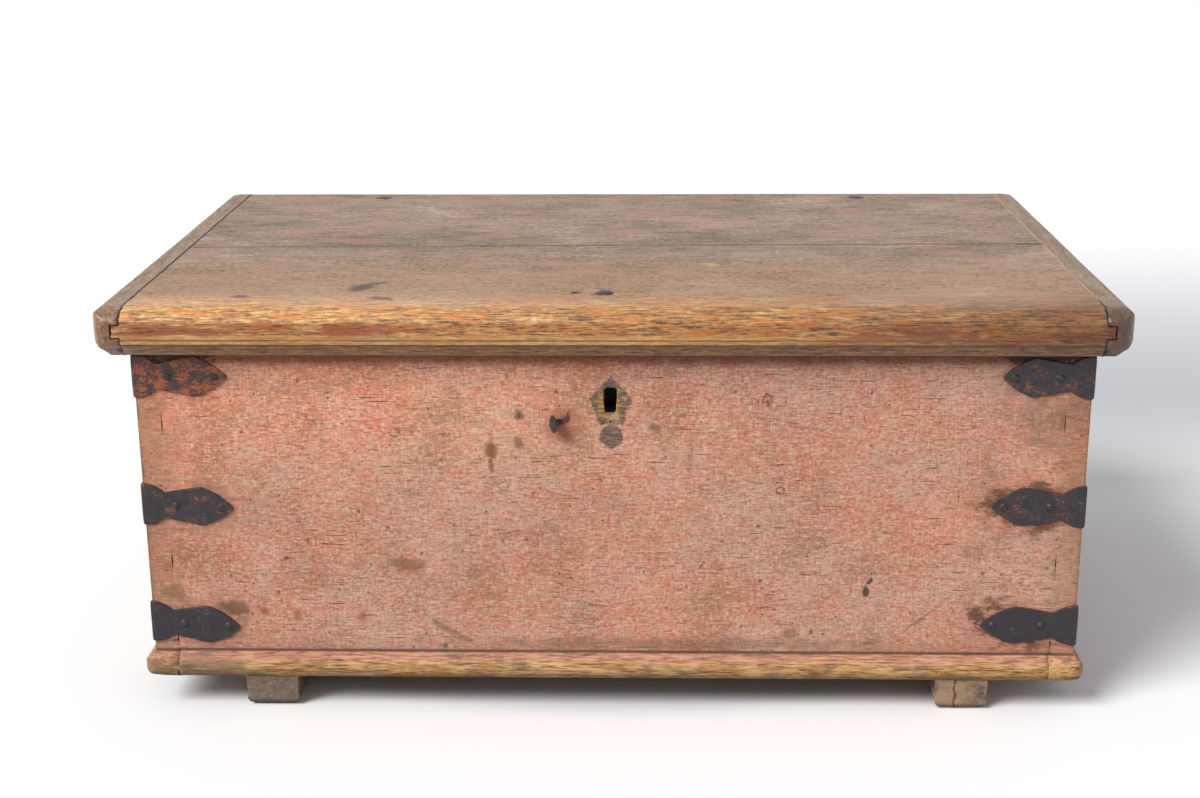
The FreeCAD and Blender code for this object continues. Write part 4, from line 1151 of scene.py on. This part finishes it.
rust_shares = {
    "strap_black": 0.32, "strap_specked": 0.48, "strap_freckled": 0.58, "strap_rusty": 0.84,
    "nail_iron": 0.4, "lock_iron": 0.35, "hinge_iron": 0.6,
}
irons = {name: iron_finish(name, rust_share) for name, rust_share in rust_shares.items()}
print("irons:", ", ".join(irons))

# %% [markdown]
# ## Corner straps
# Each strap is one piece of flat iron bent round a corner, with two leaves cut to the same outline: broad at
# the corner, a sharp waist, a swelling belly and a pointed tip. A strap is built as a strip of stations from
# one tip, round the bend, to the other tip. Each station is a row across the leaf, so hammer marks and the
# rounded rim have points to live on.

# %% Outline of a strap leaf
outline_reach_shares = (0.0, 0.042, 0.242, 0.64, 1.0)
outline_height_shares = (1.0, 1.0, 0.61, 0.913, 0.0)
outline_bulge_shares = (0.0, 0.06, 0.03, 0.15)
outline_steps = (1, 6, 12, 14)
row_shares = (-1, -0.985, -0.93, -0.7, -0.35, 0, 0.35, 0.7, 0.93, 0.985, 1)
near_rim_share = 0.9
near_tip_share = 0.98
rim_lift_share = 0.55
shoulder_lift_share = 0.92
tip_lift_share = 0.85
bend_steps = 4
strap_sink = 1.0 * mm
nail_sink = 0.4 * mm
wobble_share = 0.05
wobble_step, wobble_jump = 0.21, 3.7
strap_first_seed = 40.0
hammer_depth = 0.5 * mm
hammer_lump = 11 * mm


def leaf_outline():
    """Pairs of reach and half height along a leaf, as shares, from the bend to the tip."""
    pairs = []
    for span, steps in enumerate(outline_steps):
        for step in range(steps):
            share = step / steps
            start, end = outline_reach_shares[span:span + 2]
            low, high = outline_height_shares[span:span + 2]
            bulge = outline_bulge_shares[span] * 4 * share * (1 - share)
            pairs.append((start + (end - start) * share, low + (high - low) * share + bulge))
    near_tip = 0.985
    tip_height = 0.05
    return pairs + [(near_tip, tip_height), (1.0, 0.0)]


def row_lift(share):
    """How much of the thickness a row has: none at the rim, all of it in the middle."""
    if abs(share) == 1:
        return 0.0
    if abs(share) == max(row_shares[1:-1]):
        return rim_lift_share
    return shoulder_lift_share if abs(share) > near_rim_share else 1.0


leaf_pairs = leaf_outline()
print("a leaf has", len(leaf_pairs), "stations of", len(row_shares), "points")


# %% Forge a strap
def forged_strap(node, finish, seed):
    """A strap built round its corner, worn by the same tree as the boards."""
    low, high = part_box(node)
    twin_low, twin_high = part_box(node.replace("front", "rear"))
    side = -1 if low.x < 0 else 1
    end = -1 if low.y < 0 else 1
    thickness = frame_strap_thickness
    corner = Vector((side * half_width, front_y if end < 0 else back_y, (twin_low.z + twin_high.z) / 2))
    leg_x = high.x - low.x - thickness
    leg_y = high.y - low.y - thickness
    half_height = (twin_high.z - twin_low.z) / 2
    face_out, end_out = Vector((0, end, 0)), Vector((side, 0, 0))
    down_front = Vector((-side * leg_x, 0, -leaf_droops.get(node, 0)))
    stations = [(corner + Vector((0, -end * leg_y * reach, 0)), end_out, height, reach)
                for reach, height in reversed(leaf_pairs)]
    for step in range(1, bend_steps):
        turn = math.pi / 2 * step / bend_steps
        stations.append((corner, end_out * math.cos(turn) + face_out * math.sin(turn), 1.0, 0.0))
    stations += [(corner + down_front * reach, face_out, height, reach) for reach, height in leaf_pairs]
    work = bmesh.new()
    edge_layer = work.verts.layers.float.new("worn_edge")
    wear_layer = work.verts.layers.float.new("wear_share")
    rows = []
    for index, (foot, outward, height, reach) in enumerate(stations):
        sway = noise.noise(Vector((index * wobble_step, seed * wobble_jump, 0)))
        wobble = 1 + wobble_share * sway * (reach > 0)
        row = []
        for share in row_shares:
            tip = 0.0 if reach == 1 else tip_lift_share if reach > near_tip_share else 1.0
            lift = (thickness + strap_sink) * row_lift(share) * tip - strap_sink
            place = foot + outward * lift + Vector((0, 0, share * half_height * height * wobble))
            vert = work.verts.new(place)
            vert[edge_layer] = 1.0 if max(abs(share), reach) > near_tip_share else 0.0
            vert[wear_layer] = 1.0
            row.append(vert)
        rows.append(row)
    for first, second in zip(rows, rows[1:]):
        for index in range(len(row_shares) - 1):
            work.faces.new((first[index], first[index + 1], second[index + 1], second[index]))
        work.faces.new((first[-1], first[0], second[0], second[-1]))
    bmesh.ops.remove_doubles(work, verts=work.verts, dist=merge_gap)
    bmesh.ops.recalc_face_normals(work, faces=work.faces)
    mesh = bpy.data.meshes.new(node + "_blank")
    work.to_mesh(mesh)
    work.free()
    values = {"Depth": hammer_depth, "Lump Size": hammer_lump, "Draw Out": (1.0, 1.0, 1.0),
              "Seed": strap_first_seed + seed, "Material": finish}
    piece = run_tree(bpy.data.objects.new(node + "_blank", mesh), worn_tree, values, node + "_forged")
    piece.data.shade_smooth()
    piece.data.set_sharp_from_angle(angle=smooth_angle)
    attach(piece, "case")
    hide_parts(node)
    nails = [(corner + Vector((0, -end * leg_y * reach, 0)), end_out) for reach in nail_reach_shares]
    nails += [(corner + down_front * reach, face_out) for reach in nail_reach_shares]
    return [(foot + outward * (thickness - nail_sink), outward) for foot, outward in nails]


nail_reach_shares = (0.36, 0.86)
leaf_droops = {"strap_front_left_middle": 4 * mm, "strap_front_left_lower": 6 * mm}
strap_irons = {"strap_front_left_upper": "strap_rusty", "strap_front_right_upper": "strap_freckled",
               "strap_front_left_middle": "strap_specked", "strap_front_right_middle": "strap_specked"}
frame_strap_thickness = -half_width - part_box("strap_front_left_upper")[0].x
nail_seats = []
for seed, node in enumerate(strap_nodes):
    nail_seats += forged_strap(node, irons[strap_irons.get(node, "strap_black")], seed)
strap_mm = round(frame_strap_thickness / mm, 2)
print(len(strap_nodes), "straps,", strap_mm, "mm thick,", len(nail_seats), "nail seats")

# %% [markdown]
# ## Nail heads
# Forty-eight forged nails hold the straps. They are one shape repeated, so a Geometry Nodes tree sets one
# faceted head on each seat, turned to look out of its wall, and lets each differ a little in size and turn.

# %% The tree of the nail heads
head_top_share, head_foot_share = 0.28, 0.5
nail_tree, nail = new_tree("Strap Nail Heads", {
    "Head Width": "Float", "Head Height": "Float", "Facets": "Int", "Unevenness": "Float", "Seed": "Int"})
nail_low = nail["Geometry"].node("GeometryNodeMeshCone", {}, {
    "Vertices": nail["Facets"], "Side Segments": 2, "Radius Top": nail["Head Width"] * head_top_share,
    "Radius Bottom": nail["Head Width"] * head_foot_share, "Depth": nail["Head Height"]})
nail_way = nail_low.node("GeometryNodeInputNamedAttribute", {"data_type": "FLOAT_VECTOR"},
                         {"Name": "outward"})
nail_turn = nail_way.node("FunctionNodeAlignRotationToVector", {"axis": "Z"}, {"Vector": nail_way})
nail_scale = nail_way.node("FunctionNodeRandomValue", {"data_type": "FLOAT"},
                           {2: 1 - nail["Unevenness"], 3: 1 + nail["Unevenness"], 8: nail["Seed"]}, output=1)
nail_spin = nail_way.node("FunctionNodeRandomValue", {"data_type": "FLOAT"},
                          {2: 0.0, 3: math.tau, 8: nail["Seed"]}, output=1)
nail_set = nail_low.node("GeometryNodeInstanceOnPoints", {}, {
    "Points": nail["Geometry"], "Instance": nail_low, "Rotation": nail_turn, "Scale": nail_scale})
nail_twist = nail_spin.node("ShaderNodeCombineXYZ", {}, {"Z": nail_spin})
nail_spun = nail_set.node("GeometryNodeRotateInstances", {}, {"Instances": nail_set, "Rotation": nail_twist})
close_tree(nail_spun, nail["Material"])
print("tree", nail_tree.name, "with", len(nail_tree.nodes), "nodes")

# %% Set the nail heads
seat_mesh = bpy.data.meshes.new("nail_seats")
seat_mesh.from_pydata([seat for seat, _ in nail_seats], [], [])
outward_layer = seat_mesh.attributes.new("outward", "FLOAT_VECTOR", "POINT")
outward_layer.data.foreach_set("vector", [part for _, outward in nail_seats for part in outward])
nail_values = {"Head Width": 9.0 * mm, "Head Height": 2.0 * mm, "Facets": 9, "Unevenness": 0.1, "Seed": 3,
               "Material": irons["nail_iron"]}
seats = bpy.data.objects.new("nail_seats", seat_mesh)
strap_heads = run_tree(seats, nail_tree, nail_values, "strap_nail_heads")
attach(strap_heads, "case")
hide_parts("strap_nails")
print(len(nail_seats), "heads,", len(strap_heads.data.polygons), "faces")

# %% [markdown]
# ## The other irons
# The lock, the hinges, the bent nail and the nails of the bottom and the lid keep their clean shapes, which
# are right as they stand. They only take a finish: their object keeps its place, and its material changes.

# %% Dress the other irons
plain_irons = {
    "nail_iron": ("bottom_nails", "runner_nails", "bent_nail", "lid_end_nails", "staple_nail"),
    "hinge_iron": ("hinge_staple_left", "hinge_staple_right", "hinge_eye_left", "hinge_eye_right"),
    "lock_iron": ("lock_plate", "lock_cover", "lock_nails", "bolt_guide_left", "bolt_guide_right",
                  "bolt_spring", "key_pin", "lid_staple", "lock_bolt"),
}
for finish, nodes in plain_irons.items():
    for node in nodes:
        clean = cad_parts[node]
        clean.data.materials.clear()
        clean.data.materials.append(irons[finish])
    print(finish, "on", len(nodes), "pieces")
